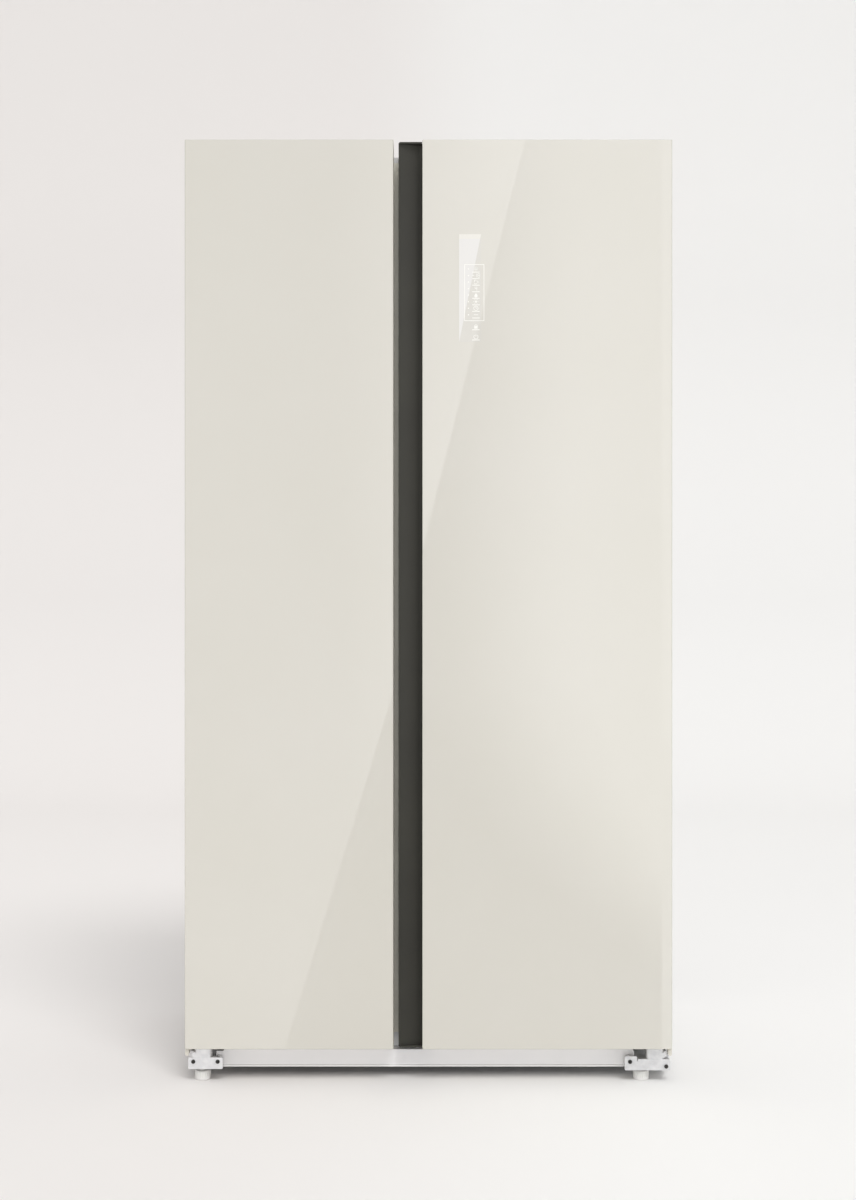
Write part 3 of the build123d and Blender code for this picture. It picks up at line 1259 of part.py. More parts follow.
def door_slab(side, slab_end, door_width):
    """The main slab of a door, with the plugs that fill its end caps."""
    slab = block(across(side, SKIN, slab_end), (GLASS_BACK, DOOR_BACK - SKIN), CORE_Z)
    slab += cap_hollow(side, (DOOR_BOTTOM + CAP_WALL, CORE_Z[0]))
    slab += cap_hollow(side, (CORE_Z[1], HEIGHT - CAP_WALL))
    return slab - hinge_profile(side) - door_liner(side, door_width)


def freezer_foam():
    """Main slab and the cores of the raised bars."""
    slab_end = FREEZER_DOOR_WIDTH - FREEZER_EDGE_DEPTH
    slab = door_slab(LEFT, slab_end, FREEZER_DOOR_WIDTH)
    return [slab, *dyke_cores(LEFT, DYKE_CORE_Y)]


def fridge_foam():
    """Main slab, the strip behind the grip channel and the cores of the raised bars."""
    slab_end = CAP_WIDTH[RIGHT]
    slab = door_slab(RIGHT, slab_end, FRIDGE_DOOR_WIDTH) - control_module()
    strip_x = across(RIGHT, slab_end, FRIDGE_DOOR_WIDTH - CHANNEL_WALL)
    strip = block(strip_x, (CHANNEL_FLOOR_Y + CHANNEL_WALL, DOOR_BACK - SKIN), CORE_Z) - grip_channel()
    return [slab, strip, *dyke_cores(RIGHT, DYKE_CORE_Y)]


# Writing the nodes

os.makedirs("parts", exist_ok=True)

save("left_side_panel", side_panel(LEFT))
save("right_side_panel", side_panel(RIGHT))
save("top_panel", top_panel())
save("back_panel", *back_panel())
save("base_tray", *base_tray())
save("cabinet_foam", *foam_blocks())
save("freezer_liner", liner(FREEZER_X, SHELF_Z["freezer"], FREEZER_DUCT_Y))
save("fridge_liner", liner(FRIDGE_X, SHELF_Z["fridge"], FRIDGE_DUCT_Y))
save("mullion_cover", mullion_cover())
save("plinth_beam", plinth_channel(), cabinet_sill())
save("hinge_screws", *hinge_screws())
save("compressor", compressor())
save("condenser", finned_coil(CONDENSER_X, CONDENSER_Y, CONDENSER_Z, CONDENSER_FINS, CONDENSER_ROWS))
save("fan_shroud", fan_shroud())
save("condenser_fan", condenser_fan())
save("drain_pan", drain_pan())
save("machine_room_cover", *machine_room_cover())
save("cord_gland", cord_gland())
save("evaporator", finned_coil(EVAPORATOR_X, EVAPORATOR_Y, EVAPORATOR_Z, EVAPORATOR_FINS, EVAPORATOR_ROWS))
save("evaporator_fan", evaporator_fan())
save("freezer_duct_panel", *freezer_duct_panel())
save("fridge_duct_panel", fridge_duct_panel())
save("damper_frame", damper_frame())
save("damper_flap", damper_flap())
save("lamp_lenses", lamp_lens(FREEZER_MIDDLE), lamp_lens(FRIDGE_MIDDLE))
save(
    "shelf_panes",
    *shelf_panes(FREEZER_X, SHELF_Z["freezer"], FREEZER_DUCT_Y),
    *shelf_panes(FRIDGE_X, SHELF_Z["fridge"], FRIDGE_DUCT_Y),
)
save("shelf_trims", *shelf_trims(FREEZER_X, SHELF_Z["freezer"]), *shelf_trims(FRIDGE_X, SHELF_Z["fridge"]))

for name, cavity in (("freezer", FREEZER_X), ("fridge", FRIDGE_X)):
    save(f"{name}_lower_drawer", drawer(cavity, DRAWER_LOW_BACK, DRAWER_LOW_Z))
    save(f"{name}_upper_drawer", drawer(cavity, DRAWER_HIGH_BACK, DRAWER_HIGH_Z))

for name, side in (("left", LEFT), ("right", RIGHT)):
    save(f"{name}_foot", foot(side))
    save(f"{name}_roller", roller(side))

for name, side, door_width, glass_width in (
    ("freezer", LEFT, FREEZER_DOOR_WIDTH, FREEZER_DOOR_WIDTH),
    ("fridge", RIGHT, FRIDGE_DOOR_WIDTH, FRIDGE_GLASS_WIDTH),
):
    save(f"{name}_lower_hinge", lower_hinge(side))
    save(f"{name}_upper_hinge", upper_hinge(side))
    save(f"{name}_hinge_cover", hinge_cover(side))
    save(f"{name}_door_glass", door_glass(side, glass_width))
    save(f"{name}_hinge_profile", hinge_profile(side))
    save(f"{name}_top_cap", top_cap(side))
    save(f"{name}_bottom_cap", bottom_cap(side))
    save(f"{name}_door_liner", door_liner(side, door_width))
    save(f"{name}_door_gasket", gasket(side, door_width))
    save(f"{name}_door_bins", *door_bins(side))

save("freezer_grip_profile", grip_profile())
save("fridge_grip_channel", grip_channel())
save("control_module", control_module())
save("freezer_door_foam", *freezer_foam())
save("fridge_door_foam", *fridge_foam())
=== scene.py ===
import json
import math

import bpy
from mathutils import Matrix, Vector

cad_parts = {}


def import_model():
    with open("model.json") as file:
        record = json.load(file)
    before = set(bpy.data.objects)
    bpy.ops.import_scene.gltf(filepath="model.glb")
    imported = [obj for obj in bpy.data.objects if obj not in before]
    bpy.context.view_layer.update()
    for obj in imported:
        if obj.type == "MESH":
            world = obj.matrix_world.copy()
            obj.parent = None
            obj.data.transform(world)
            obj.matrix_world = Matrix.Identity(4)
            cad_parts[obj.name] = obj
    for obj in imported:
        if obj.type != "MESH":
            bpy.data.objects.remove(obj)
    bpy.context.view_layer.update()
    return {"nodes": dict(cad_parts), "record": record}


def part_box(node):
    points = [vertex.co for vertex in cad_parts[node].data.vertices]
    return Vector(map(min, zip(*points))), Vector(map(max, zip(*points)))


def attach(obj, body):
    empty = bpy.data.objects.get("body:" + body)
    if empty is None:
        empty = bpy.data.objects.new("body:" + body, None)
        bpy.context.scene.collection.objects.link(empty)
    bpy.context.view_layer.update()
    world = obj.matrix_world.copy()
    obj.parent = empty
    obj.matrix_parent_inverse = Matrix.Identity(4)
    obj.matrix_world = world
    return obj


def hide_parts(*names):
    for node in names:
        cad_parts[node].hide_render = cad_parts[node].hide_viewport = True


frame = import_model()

# A side by side refrigerator with cream glass doors, in metres, +Z up, doors towards -Y.

MM = 0.001

# Camera: level and straight at the doors
CAMERA_PLACE = Vector((-0.0009, -3.83, 0.9006))
CAMERA_LENS = 56.3
CAMERA_SENSOR = 36.0

# Stage and light
FLOOR_HALF = 14.0
FLOOR_FRONT = -14.0
SWEEP_START = 4.2
SWEEP_RADIUS = 2.6
SWEEP_STEPS = 24
SWEEP_SMOOTH = math.radians(30)
WALL_TOP = 8.0
WORLD_LEVEL = 0.515
WORLD_SHADE = (238, 235, 233)
# Each lamp's strength, with its spread, elevation and azimuth in degrees, and whether it is mirrored
LAMPS = {
    "key_light": (1.17, 24, 52, 19, True),
    "top_light": (0.44, 60, 86, 0, True),
    "front_fill": (0.5, 11, 7, 1, False),
}

# Places on the object
# The hemmed edge's height and the plinth's depth bound where the casing paint carries its painted highlight
# and its painted lift against shade.
HEM_HEIGHT = 4.0 * MM
PLINTH_DEPTH = 31.0 * MM
door_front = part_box("fridge_door_glass")[0].y
plinth_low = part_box("plinth_beam")[0]
hem_top = plinth_low.z + HEM_HEIGHT
plinth_back = plinth_low.y + PLINTH_DEPTH


# Node helpers

def srgb(red, green, blue):
    """A colour given in screen levels, as the shader reads it."""
    def linear(level):
        share = level / 255
        return share / 12.92 if share <= 0.04045 else ((share + 0.055) / 1.055) ** 2.4
    return (linear(red), linear(green), linear(blue), 1.0)


def add(tree, kind, inputs, **settings):
    """A new node, with its inputs either linked or set."""
    made = tree.nodes.new(kind)
    for name, value in settings.items():
        setattr(made, name, value)
    for name, value in inputs.items():
        if isinstance(value, bpy.types.NodeSocket):
            tree.links.new(value, made.inputs[name])
        else:
            made.inputs[name].default_value = value
    return made


def coordinates(tree, output="Object"):
    """The place on the object, or its normal."""
    return add(tree, "ShaderNodeTexCoord", {}).outputs[output]


def stretched(tree, where, factors):
    """Coordinates scaled by their own factor on each axis."""
    return add(tree, "ShaderNodeVectorMath", {0: where, 1: factors}, operation="MULTIPLY").outputs[0]


def noise(tree, where, size, detail=3.0):
    """Soft random values whose patches are about the given size in metres."""
    made = add(tree, "ShaderNodeTexNoise", {"Vector": where, "Scale": 1 / size, "Detail": detail})
    return made.outputs["Fac"]


def cells(tree, where, size, output="Distance"):
    """Random cells of about the given size, by the distance from their middles or a colour each."""
    return add(tree, "ShaderNodeTexVoronoi", {"Vector": where, "Scale": 1 / size}).outputs[output]


def spread(tree, value, low, high, start=0.3, end=0.7, smooth=False):
    """A value between start and end carried onto low to high."""
    inputs = {"Value": value, "From Min": start, "From Max": end, "To Min": low, "To Max": high}
    kind = "SMOOTHSTEP" if smooth else "LINEAR"
    return add(tree, "ShaderNodeMapRange", inputs, interpolation_type=kind).outputs["Result"]


def patches(tree, where, size, detail=3.0):
    """Soft patches of about the given size, as shares from 0 to 1."""
    return spread(tree, noise(tree, where, size, detail), 0, 1)


def blended(tree, share, first, second):
    """A colour that goes from the first to the second as the share goes from 0 to 1."""
    return add(tree, "ShaderNodeMix", {0: share, 6: first, 7: second}, data_type="RGBA").outputs[2]


def along(tree, where, direction):
    """How far the coordinates lie along a direction."""
    dot = add(tree, "ShaderNodeVectorMath", {0: where, 1: direction}, operation="DOT_PRODUCT")
    return dot.outputs["Value"]


def bump(tree, height, depth):
    """A surface normal tilted by a height whose full swing is the given depth in metres."""
    return add(tree, "ShaderNodeBump", {"Height": height, "Distance": depth}).outputs["Normal"]


def finish(name, constants):
    """A new material with its tree and shader, and the values that are the same all over it."""
    material = bpy.data.materials.new(name)
    material.use_nodes = True
    shader = material.node_tree.nodes["Principled BSDF"]
    for socket, value in constants.items():
        shader.inputs[socket].default_value = value
    return material, material.node_tree, shader


def feed(tree, shader, **sockets):
    """Link varying values to the shader's sockets."""
    names = {"colour": "Base Color", "roughness": "Roughness", "normal": "Normal", "alpha": "Alpha"}
    for socket, value in sockets.items():
        tree.links.new(value, shader.inputs[names[socket]])


# Finishes, one for each material slot

PAINT_FADE = 0.3 * MM
SPANGLE_SIZE = 7.0 * MM
SPANGLE_WARP = 8.0 * MM
SPANGLE_WARP_SCALE = 60.0
LENS_RIDGE_SCALE = 90.0


def cream_glass():
    """Clear float glass over a cream back paint, with greenish ground edges."""
    material, tree, shader = finish("cream_glass", {"IOR": 1.5})
    where = coordinates(tree)
    cloud = patches(tree, where, size=0.35)
    paint = blended(tree, cloud, srgb(210.5, 207.5, 198.5), srgb(212.5, 209.5, 201.5))
    front = along(tree, coordinates(tree, "Normal"), (0, -1, 0))
    edge = spread(tree, front, 1, 0, start=0.55, end=0.95)
    feed(tree, shader,
         colour=blended(tree, edge, paint, srgb(168, 172, 158)),
         roughness=spread(tree, noise(tree, where, size=0.09, detail=5.0), 0.015, 0.045))
    return material


def trim_metal():
    """Coated door profiles and end caps: cream satin with a fine drawn grain along their length."""
    material, tree, shader = finish("door_trim", {"IOR": 1.46, "Specular IOR Level": 0.4})
    where = coordinates(tree)
    grain = noise(tree, stretched(tree, where, (1, 1, 0.012)), size=0.0012, detail=2.0)
    feed(tree, shader,
         colour=blended(tree, spread(tree, grain, 0, 1), srgb(206, 202, 191), srgb(214, 210, 200)),
         roughness=spread(tree, grain, 0.34, 0.46),
         normal=bump(tree, grain, depth=0.00003))
    return material


def dark_trim():
    """Dark anodised grip moulding with a faint drawn grain."""
    material, tree, shader = finish("dark_trim", {"IOR": 1.45, "Specular IOR Level": 0.08})
    where = coordinates(tree)
    grain = noise(tree, stretched(tree, where, (1, 1, 0.01)), size=0.0016, detail=2.0)
    cloud = patches(tree, where, size=0.12)
    feed(tree, shader,
         colour=blended(tree, cloud, srgb(61, 60, 56), srgb(65, 64, 59)),
         roughness=spread(tree, grain, 0.46, 0.58),
         normal=bump(tree, grain, depth=0.00003))
    return material


def casing_paint():
    """Pre-coated sheet with a shallow pebbled emboss, painted whiter on the plinth to offset the shade under
    the doors, and pure white along its folded bottom edge as a painted highlight.
    """
    material, tree, shader = finish("casing_paint", {"IOR": 1.48})
    where = coordinates(tree)
    height, depth = along(tree, where, (0, 0, 1)), along(tree, where, (0, 1, 0))
    # Painted highlight: the hemmed bottom edge is painted pure white where it would catch the light.
    painted_hem_highlight = spread(tree, height, 1, 0, hem_top - PAINT_FADE, hem_top + PAINT_FADE)
    # Painted lift against shade: the plinth ahead of its back is painted whiter than the sides, to offset
    # the shade under the doors' overhang.
    ahead = spread(tree, depth, 1, 0, plinth_back - PAINT_FADE, plinth_back)
    pebble = noise(tree, where, size=0.0028, detail=2.0)
    cloud = patches(tree, where, size=0.3)
    sheet = blended(tree, cloud, srgb(222, 222, 221), srgb(227, 227, 226))
    feed(tree, shader,
         colour=blended(tree, ahead, sheet, blended(tree, painted_hem_highlight, srgb(246, 245, 246), srgb(255, 255, 255))),
         roughness=spread(tree, pebble, 0.3, 0.42),
         normal=bump(tree, pebble, depth=0.00012))
    return material


def post_strip():
    """Warm grey painted strip of the centre post."""
    material, tree, shader = finish("post_strip", {"IOR": 1.46, "Specular IOR Level": 0.35})
    where = coordinates(tree)
    peel = noise(tree, where, size=0.004, detail=2.0)
    feed(tree, shader,
         colour=blended(tree, spread(tree, peel, 0, 1), srgb(238, 235, 222), srgb(242, 239, 226)),
         roughness=spread(tree, peel, 0.4, 0.5),
         normal=bump(tree, peel, depth=0.00006))
    return material


def galvanised_steel():
    """Zinc-coated sheet with its crystal spangle."""
    material, tree, shader = finish("galvanised_steel", {"Metallic": 0.85})
    where = coordinates(tree)
    drift = add(tree, "ShaderNodeTexNoise", {"Vector": where, "Scale": SPANGLE_WARP_SCALE}).outputs["Color"]
    drift = stretched(tree, drift, (SPANGLE_WARP, SPANGLE_WARP, SPANGLE_WARP))
    warped = add(tree, "ShaderNodeVectorMath", {0: where, 1: drift}, operation="ADD").outputs[0]
    spangle = cells(tree, warped, size=SPANGLE_SIZE, output="Color")
    shade = add(tree, "ShaderNodeSeparateColor", {"Color": spangle}).outputs["Red"]
    feed(tree, shader,
         colour=blended(tree, shade, srgb(187, 190, 192), srgb(199, 202, 204)),
         roughness=spread(tree, shade, 0.42, 0.52, start=0.0, end=1.0),
         normal=bump(tree, noise(tree, where, size=0.003), depth=0.00005))
    return material


def hinge_steel():
    """Bright zinc-plated bracket with fine rolling marks and duller patches."""
    material, tree, shader = finish("hinge_steel", {"Metallic": 0.55, "IOR": 1.8})
    where = coordinates(tree)
    rolled = noise(tree, stretched(tree, where, (0.05, 1, 1)), size=0.0007, detail=2.0)
    polish = patches(tree, where, size=0.012, detail=4.0)
    feed(tree, shader,
         colour=blended(tree, polish, srgb(214, 214, 216), srgb(232, 232, 233)),
         roughness=spread(tree, rolled, 0.3, 0.42),
         normal=bump(tree, rolled, depth=0.00004))
    return material


def dark_steel():
    """Blackened screws with worn edges."""
    material, tree, shader = finish("dark_steel", {"Metallic": 0.8})
    where = coordinates(tree)
    wear = noise(tree, where, size=0.0015, detail=5.0)
    bare = spread(tree, wear, 0, 1, start=0.45, end=0.75)
    feed(tree, shader,
         colour=blended(tree, bare, srgb(46, 45, 44), srgb(104, 102, 99)),
         roughness=spread(tree, wear, 0.32, 0.5),
         normal=bump(tree, wear, depth=0.00005))
    return material


def white_moulding():
    """Vacuum-formed white plastic with a soft gloss and a slight waviness."""
    material, tree, shader = finish("white_moulding", {"IOR": 1.52, "Subsurface Weight": 0.08,
                                                       "Subsurface Radius": (0.004, 0.004, 0.004)})
    where = coordinates(tree)
    wave = noise(tree, where, size=0.18, detail=1.0)
    fine = noise(tree, where, size=0.0018, detail=2.0)
    feed(tree, shader,
         colour=blended(tree, spread(tree, wave, 0, 1), srgb(233, 235, 235), srgb(236, 237, 236)),
         roughness=spread(tree, fine, 0.26, 0.34),
         normal=bump(tree, fine, depth=0.00002))
    return material


def cover_plastic():
    """Fine-textured pale plastic of the feet and hinge covers."""
    material, tree, shader = finish("cover_plastic", {"IOR": 1.48, "Specular IOR Level": 0.4})
    where = coordinates(tree)
    spark = cells(tree, where, size=0.0011)
    cloud = patches(tree, where, size=0.02)
    feed(tree, shader,
         colour=blended(tree, cloud, srgb(224, 223, 220), srgb(231, 230, 227)),
         roughness=spread(tree, spark, 0.42, 0.58, start=0.0, end=0.8),
         normal=bump(tree, spark, depth=0.00008))
    return material


def clear_plastic():
    """Clear drawers and bins, a little denser and bluer along their edges."""
    material, tree, shader = finish("clear_plastic", {"IOR": 1.55, "Specular IOR Level": 0.7})
    where = coordinates(tree)
    flow = noise(tree, stretched(tree, where, (1, 1, 0.25)), size=0.03, detail=3.0)
    rim = add(tree, "ShaderNodeLayerWeight", {"Blend": 0.35}).outputs["Facing"]
    feed(tree, shader,
         colour=blended(tree, spread(tree, flow, 0, 1), srgb(230, 236, 239), srgb(238, 242, 243)),
         roughness=spread(tree, flow, 0.05, 0.12),
         alpha=spread(tree, rim, 0.22, 0.72, start=0.0, end=1.0))
    return material


def shelf_glass():
    """Toughened shelf panes: clear faces and green edges."""
    material, tree, shader = finish("shelf_glass", {"IOR": 1.52, "Specular IOR Level": 0.6})
    where = coordinates(tree)
    up = along(tree, coordinates(tree, "Normal"), (0, 0, 1))
    face = add(tree, "ShaderNodeMath", {0: up}, operation="ABSOLUTE").outputs[0]
    smear = noise(tree, where, size=0.06, detail=5.0)
    feed(tree, shader,
         colour=blended(tree, face, srgb(122, 176, 158), srgb(222, 236, 231)),
         roughness=spread(tree, smear, 0.02, 0.07),
         alpha=spread(tree, face, 0.86, 0.24, start=0.2, end=0.9))
    return material


def lamp_diffuser():
    """Opal lamp lens with moulded prism ridges."""
    material, tree, shader = finish("lamp_diffuser", {"IOR": 1.5, "Subsurface Weight": 0.3,
                                                      "Subsurface Radius": (0.006, 0.006, 0.006)})
    where = coordinates(tree)
    wave = add(tree, "ShaderNodeTexWave", {"Vector": where, "Scale": LENS_RIDGE_SCALE}, wave_profile="TRI")
    ridges = wave.outputs["Fac"]
    cloud = patches(tree, where, size=0.03)
    feed(tree, shader,
         colour=blended(tree, cloud, srgb(240, 240, 236), srgb(246, 246, 243)),
         roughness=spread(tree, ridges, 0.3, 0.42, start=0.0, end=1.0),
         normal=bump(tree, ridges, depth=0.0004))
    return material


def seal_rubber():
    """Soft grey seal, dull, with a talc bloom."""
    gloss = {"IOR": 1.5, "Specular IOR Level": 0.3, "Sheen Weight": 0.15}
    material, tree, shader = finish("seal_rubber", gloss)
    where = coordinates(tree)
    bloom = patches(tree, where, size=0.012, detail=5.0)
    feed(tree, shader,
         colour=blended(tree, bloom, srgb(178, 176, 170), srgb(194, 192, 186)),
         roughness=spread(tree, bloom, 0.55, 0.72, start=0.0, end=1.0),
         normal=bump(tree, noise(tree, where, size=0.0009), depth=0.00005))
    return material


def insulation():
    """Poured foam with fine cells."""
    material, tree, shader = finish("insulation", {"IOR": 1.4, "Specular IOR Level": 0.15})
    where = coordinates(tree)
    bubbles = cells(tree, where, size=0.0025)
    wall = spread(tree, bubbles, 0, 1, start=0.0, end=0.8)
    feed(tree, shader,
         colour=blended(tree, wall, srgb(206, 190, 138), srgb(228, 214, 168)),
         roughness=spread(tree, bubbles, 0.8, 0.95, start=0.0, end=0.8),
         normal=bump(tree, bubbles, depth=0.0006))
    return material


def machine_paint():
    """Black stove enamel of the compressor, with orange peel."""
    material, tree, shader = finish("machine_paint", {"IOR": 1.5})
    where = coordinates(tree)
    peel = noise(tree, where, size=0.004, detail=3.0)
    feed(tree, shader,
         colour=blended(tree, spread(tree, peel, 0, 1), srgb(24, 24, 25), srgb(32, 32, 33)),
         roughness=spread(tree, peel, 0.26, 0.4),
         normal=bump(tree, peel, depth=0.00018))
    return material


def coil_aluminium():
    """Mill-finish fins and tubes, streaked along their height."""
    material, tree, shader = finish("coil_aluminium", {"Metallic": 0.95})
    where = coordinates(tree)
    streak = noise(tree, stretched(tree, where, (1, 1, 0.06)), size=0.002, detail=3.0)
    feed(tree, shader,
         colour=blended(tree, spread(tree, streak, 0, 1), srgb(196, 198, 200), srgb(220, 222, 223)),
         roughness=spread(tree, streak, 0.28, 0.45),
         normal=bump(tree, streak, depth=0.00005))
    return material


def black_plastic():
    """Spark-eroded black plastic."""
    material, tree, shader = finish("black_plastic", {"IOR": 1.48, "Specular IOR Level": 0.4})
    where = coordinates(tree)
    spark = cells(tree, where, size=0.0013)
    cloud = patches(tree, where, size=0.03)
    feed(tree, shader,
         colour=blended(tree, cloud, srgb(30, 30, 31), srgb(38, 38, 39)),
         roughness=spread(tree, spark, 0.48, 0.64, start=0.0, end=0.8),
         normal=bump(tree, spark, depth=0.0001))
    return material


FINISHES = {
    "cream_glass": cream_glass(),
    "door_trim": trim_metal(),
    "dark_trim": dark_trim(),
    "casing_paint": casing_paint(),
    "post_strip": post_strip(),
    "galvanised_steel": galvanised_steel(),
    "hinge_steel": hinge_steel(),
    "dark_steel": dark_steel(),
    "white_moulding": white_moulding(),
    "cover_plastic": cover_plastic(),
    "clear_plastic": clear_plastic(),
    "shelf_glass": shelf_glass(),
    "lamp_diffuser": lamp_diffuser(),
    "seal_rubber": seal_rubber(),
    "insulation": insulation(),
    "machine_paint": machine_paint(),
    "coil_aluminium": coil_aluminium(),
    "black_plastic": black_plastic(),
}

for subpart in frame["record"]["subparts"]:
    part = frame["nodes"][subpart["node"]]
    part.data.materials.clear()
    part.data.materials.append(FINISHES[subpart["material_slot"]])


# Mesh helpers

def new_piece(name, points, faces, material, smooth_angle=None):
    """A mesh object from points and faces, in the shared frame."""
    mesh = bpy.data.meshes.new(name)
    mesh.from_pydata(points, [], faces)
    mesh.update()
    if smooth_angle is not None:
        mesh.shade_smooth()
        mesh.set_sharp_from_angle(angle=smooth_angle)
    mesh.materials.append(material)
    made = bpy.data.objects.new(name, mesh)
    bpy.context.scene.collection.objects.link(made)
    return made


def raised(outlines, back, front):
    """Points and faces of flat outlines in XZ, raised from the back plane to the front plane."""
    points, faces = [], []
    for outline in outlines:
        start, count = len(points), len(outline)
        points += [(x, front, z) for x, z in outline]
        points += [(x, back, z) for x, z in outline]
        faces.append(tuple(range(start, start + count)))
        faces.append(tuple(reversed(range(start + count, start + 2 * count))))
        for step in range(count):
            after = (step + 1) % count
            faces.append((start + step, start + count + step, start + count + after, start + after))
    return points, faces


# Door seals: root, two bellows folds and the magnet bulb, as half widths at depths from the door

SEAL_HALF_SECTION = (
    (8.0, 0.0), (8.0, 1.4), (6.6, 2.4), (4.4, 3.4), (4.2, 4.2), (6.2, 5.4), (6.2, 6.0), (4.4, 7.2),
    (4.4, 7.8), (5.6, 8.8), (7.4, 9.4), (8.0, 10.4), (8.0, 13.0), (7.4, 14.2), (6.4, 14.6),
)
SEAL_SMOOTH = math.radians(50)


def door_seal(name, node, body):
    """The seal's section carried round the door, mitred at its corners."""
    low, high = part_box(node)
    half = SEAL_HALF_SECTION[0][0] * MM
    section = [(width * MM, depth * MM) for width, depth in SEAL_HALF_SECTION]
    section += [(-width, depth) for width, depth in reversed(section)]
    corners = ((-1, -1), (1, -1), (1, 1), (-1, 1))
    points = []
    for side_x, side_z in corners:
        x = low.x + half if side_x < 0 else high.x - half
        z = low.z + half if side_z < 0 else high.z - half
        points += [(x + side_x * out, low.y + depth, z + side_z * out) for out, depth in section]
    count = len(section)
    faces = []
    for corner in range(len(corners)):
        start = corner * count
        ahead = (corner + 1) % len(corners) * count
        for step in range(count):
            after = (step + 1) % count
            faces.append((start + step, ahead + step, ahead + after, start + after))
    seal = new_piece(name, points, faces, FINISHES["seal_rubber"], SEAL_SMOOTH)
    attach(seal, body)
    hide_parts(node)


door_seal("freezer_seal", "freezer_door_gasket", "freezer_door")
door_seal("fridge_seal", "fridge_door_gasket", "fridge_door")


# Touch control printed on the fridge door's glass

display_low, display_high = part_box("control_module")
FILM_X = (display_low.x + 2.2 * MM, display_high.x - 8.8 * MM)
FILM_Z = (display_low.z + 4.0 * MM, display_high.z - 4.0 * MM)
# The top band where the painted reflection is creamier, and the soft edge of the painted reflection along
# the diagonal.
FILM_HEADER = 9.0 * MM
DIAGONAL_FADE = 0.01
FILM_RISE = 0.04 * MM
PRINT_RISE = 0.08 * MM
PRINT_BURY = 0.02 * MM
FRAME_X = (display_low.x + 12.3 * MM, display_high.x - 3.5 * MM)
FRAME_Z = (display_low.z + 43.5 * MM, display_high.z - 60.8 * MM)
FRAME_LINE = 1.2 * MM
ICON_X = display_low.x + 33.5 * MM
DOT_X = display_low.x + 19.5 * MM
ICON_TOP = FRAME_Z[1] - 8.2 * MM
ICON_PITCH = 12.2 * MM
LOWER_ICONS_Z = (FRAME_Z[0] - 11.0 * MM, FRAME_Z[0] - 30.0 * MM)
ICON_LINE = 1.1 * MM
SIGN = 8.0 * MM
MARK_RADIUS = 1.2 * MM
LABEL_SIZE = (14.0 * MM, 1.5 * MM)
LABEL_DROP = 5.9 * MM
RING_STEPS = 24


def bar(x, z, length, width, degrees=0.0):
    """A straight stroke about its middle."""
    turn = math.radians(degrees)
    run = Vector((math.cos(turn), math.sin(turn))) * length / 2
    rise = Vector((-math.sin(turn), math.cos(turn))) * width / 2
    middle = Vector((x, z))
    return [tuple(middle + a * run + b * rise) for a, b in ((-1, -1), (1, -1), (1, 1), (-1, 1))]


def arc(x, z, radius, width, start=0.0, end=360.0):
    """A curved stroke as a run of short quads."""
    steps = max(3, round(RING_STEPS * (end - start) / 360))
    angles = [math.radians(start + (end - start) * step / steps) for step in range(steps + 1)]

    def at(angle, reach):
        return (x + reach * math.cos(angle), z + reach * math.sin(angle))

    inner, outer = radius - width / 2, radius + width / 2
    return [[at(a, inner), at(a, outer), at(b, outer), at(b, inner)] for a, b in zip(angles, angles[1:])]


def disc(x, z, radius):
    angles = [2 * math.pi * step / RING_STEPS for step in range(RING_STEPS)]
    return [(x + radius * math.cos(a), z + radius * math.sin(a)) for a in angles]


def snowflake(x, z):
    return [bar(x, z, SIGN, ICON_LINE, degrees) for degrees in (30, 90, 150)]


SEGMENTS = {
    "top": (0, 1, False), "middle": (0, 0, False), "bottom": (0, -1, False),
    "upper_left": (-1, 0.5, True), "upper_right": (1, 0.5, True),
    "lower_left": (-1, -0.5, True), "lower_right": (1, -0.5, True),
}
DIGITS = {
    "1": ("upper_right", "lower_right"),
    "4": ("upper_left", "upper_right", "middle", "lower_right"),
    "8": tuple(SEGMENTS),
    "-": ("middle",),
}
DIGIT_WIDTH = 0.4 * SIGN
DIGIT_HEIGHT = 0.9 * SIGN


def digit(sign, x, z):
    """One seven-segment sign."""
    strokes = []
    for name in DIGITS[sign]:
        across, up, standing = SEGMENTS[name]
        length = DIGIT_HEIGHT / 2 if standing else DIGIT_WIDTH
        place = (x + across * DIGIT_WIDTH / 2, z + up * DIGIT_HEIGHT / 2)
        strokes.append(bar(*place, length, ICON_LINE, 90 if standing else 0))
    return strokes


def number(text, x, z):
    """Seven-segment signs side by side about a middle."""
    pitch = DIGIT_WIDTH + 2 * ICON_LINE
    start = x - pitch * (len(text) - 1) / 2
    return [stroke for count, sign in enumerate(text) for stroke in digit(sign, start + count * pitch, z)]


def around(x, z, radius, degrees):
    """The point on a circle at an angle."""
    return (x + radius * math.cos(math.radians(degrees)), z + radius * math.sin(math.radians(degrees)))


def droplet(x, z):
    radius = 3 * SIGN / 8
    belly = [around(x, z - radius / 2, radius, degrees) for degrees in range(-200, 21, 20)]
    return [belly + [(x, z + SIGN / 2)]]


def fan_sign(x, z):
    strokes = []
    for degrees in (0, 120, 240):
        hub = around(x, z, SIGN / 4, degrees)
        strokes += arc(*hub, SIGN / 4, ICON_LINE, degrees - 60, degrees + 120)
    return strokes


def clock(x, z):
    hands = [bar(x, z + SIGN / 6, SIGN / 3, ICON_LINE, 90), bar(x + SIGN / 8, z, SIGN / 4, ICON_LINE)]
    return arc(x, z, SIGN / 2, ICON_LINE) + hands


def padlock(x, z):
    body = bar(x, z - SIGN / 6, 0.8 * SIGN, 0.6 * SIGN)
    return [body] + arc(x, z + SIGN / 8, 0.3 * SIGN, ICON_LINE, 0, 180)


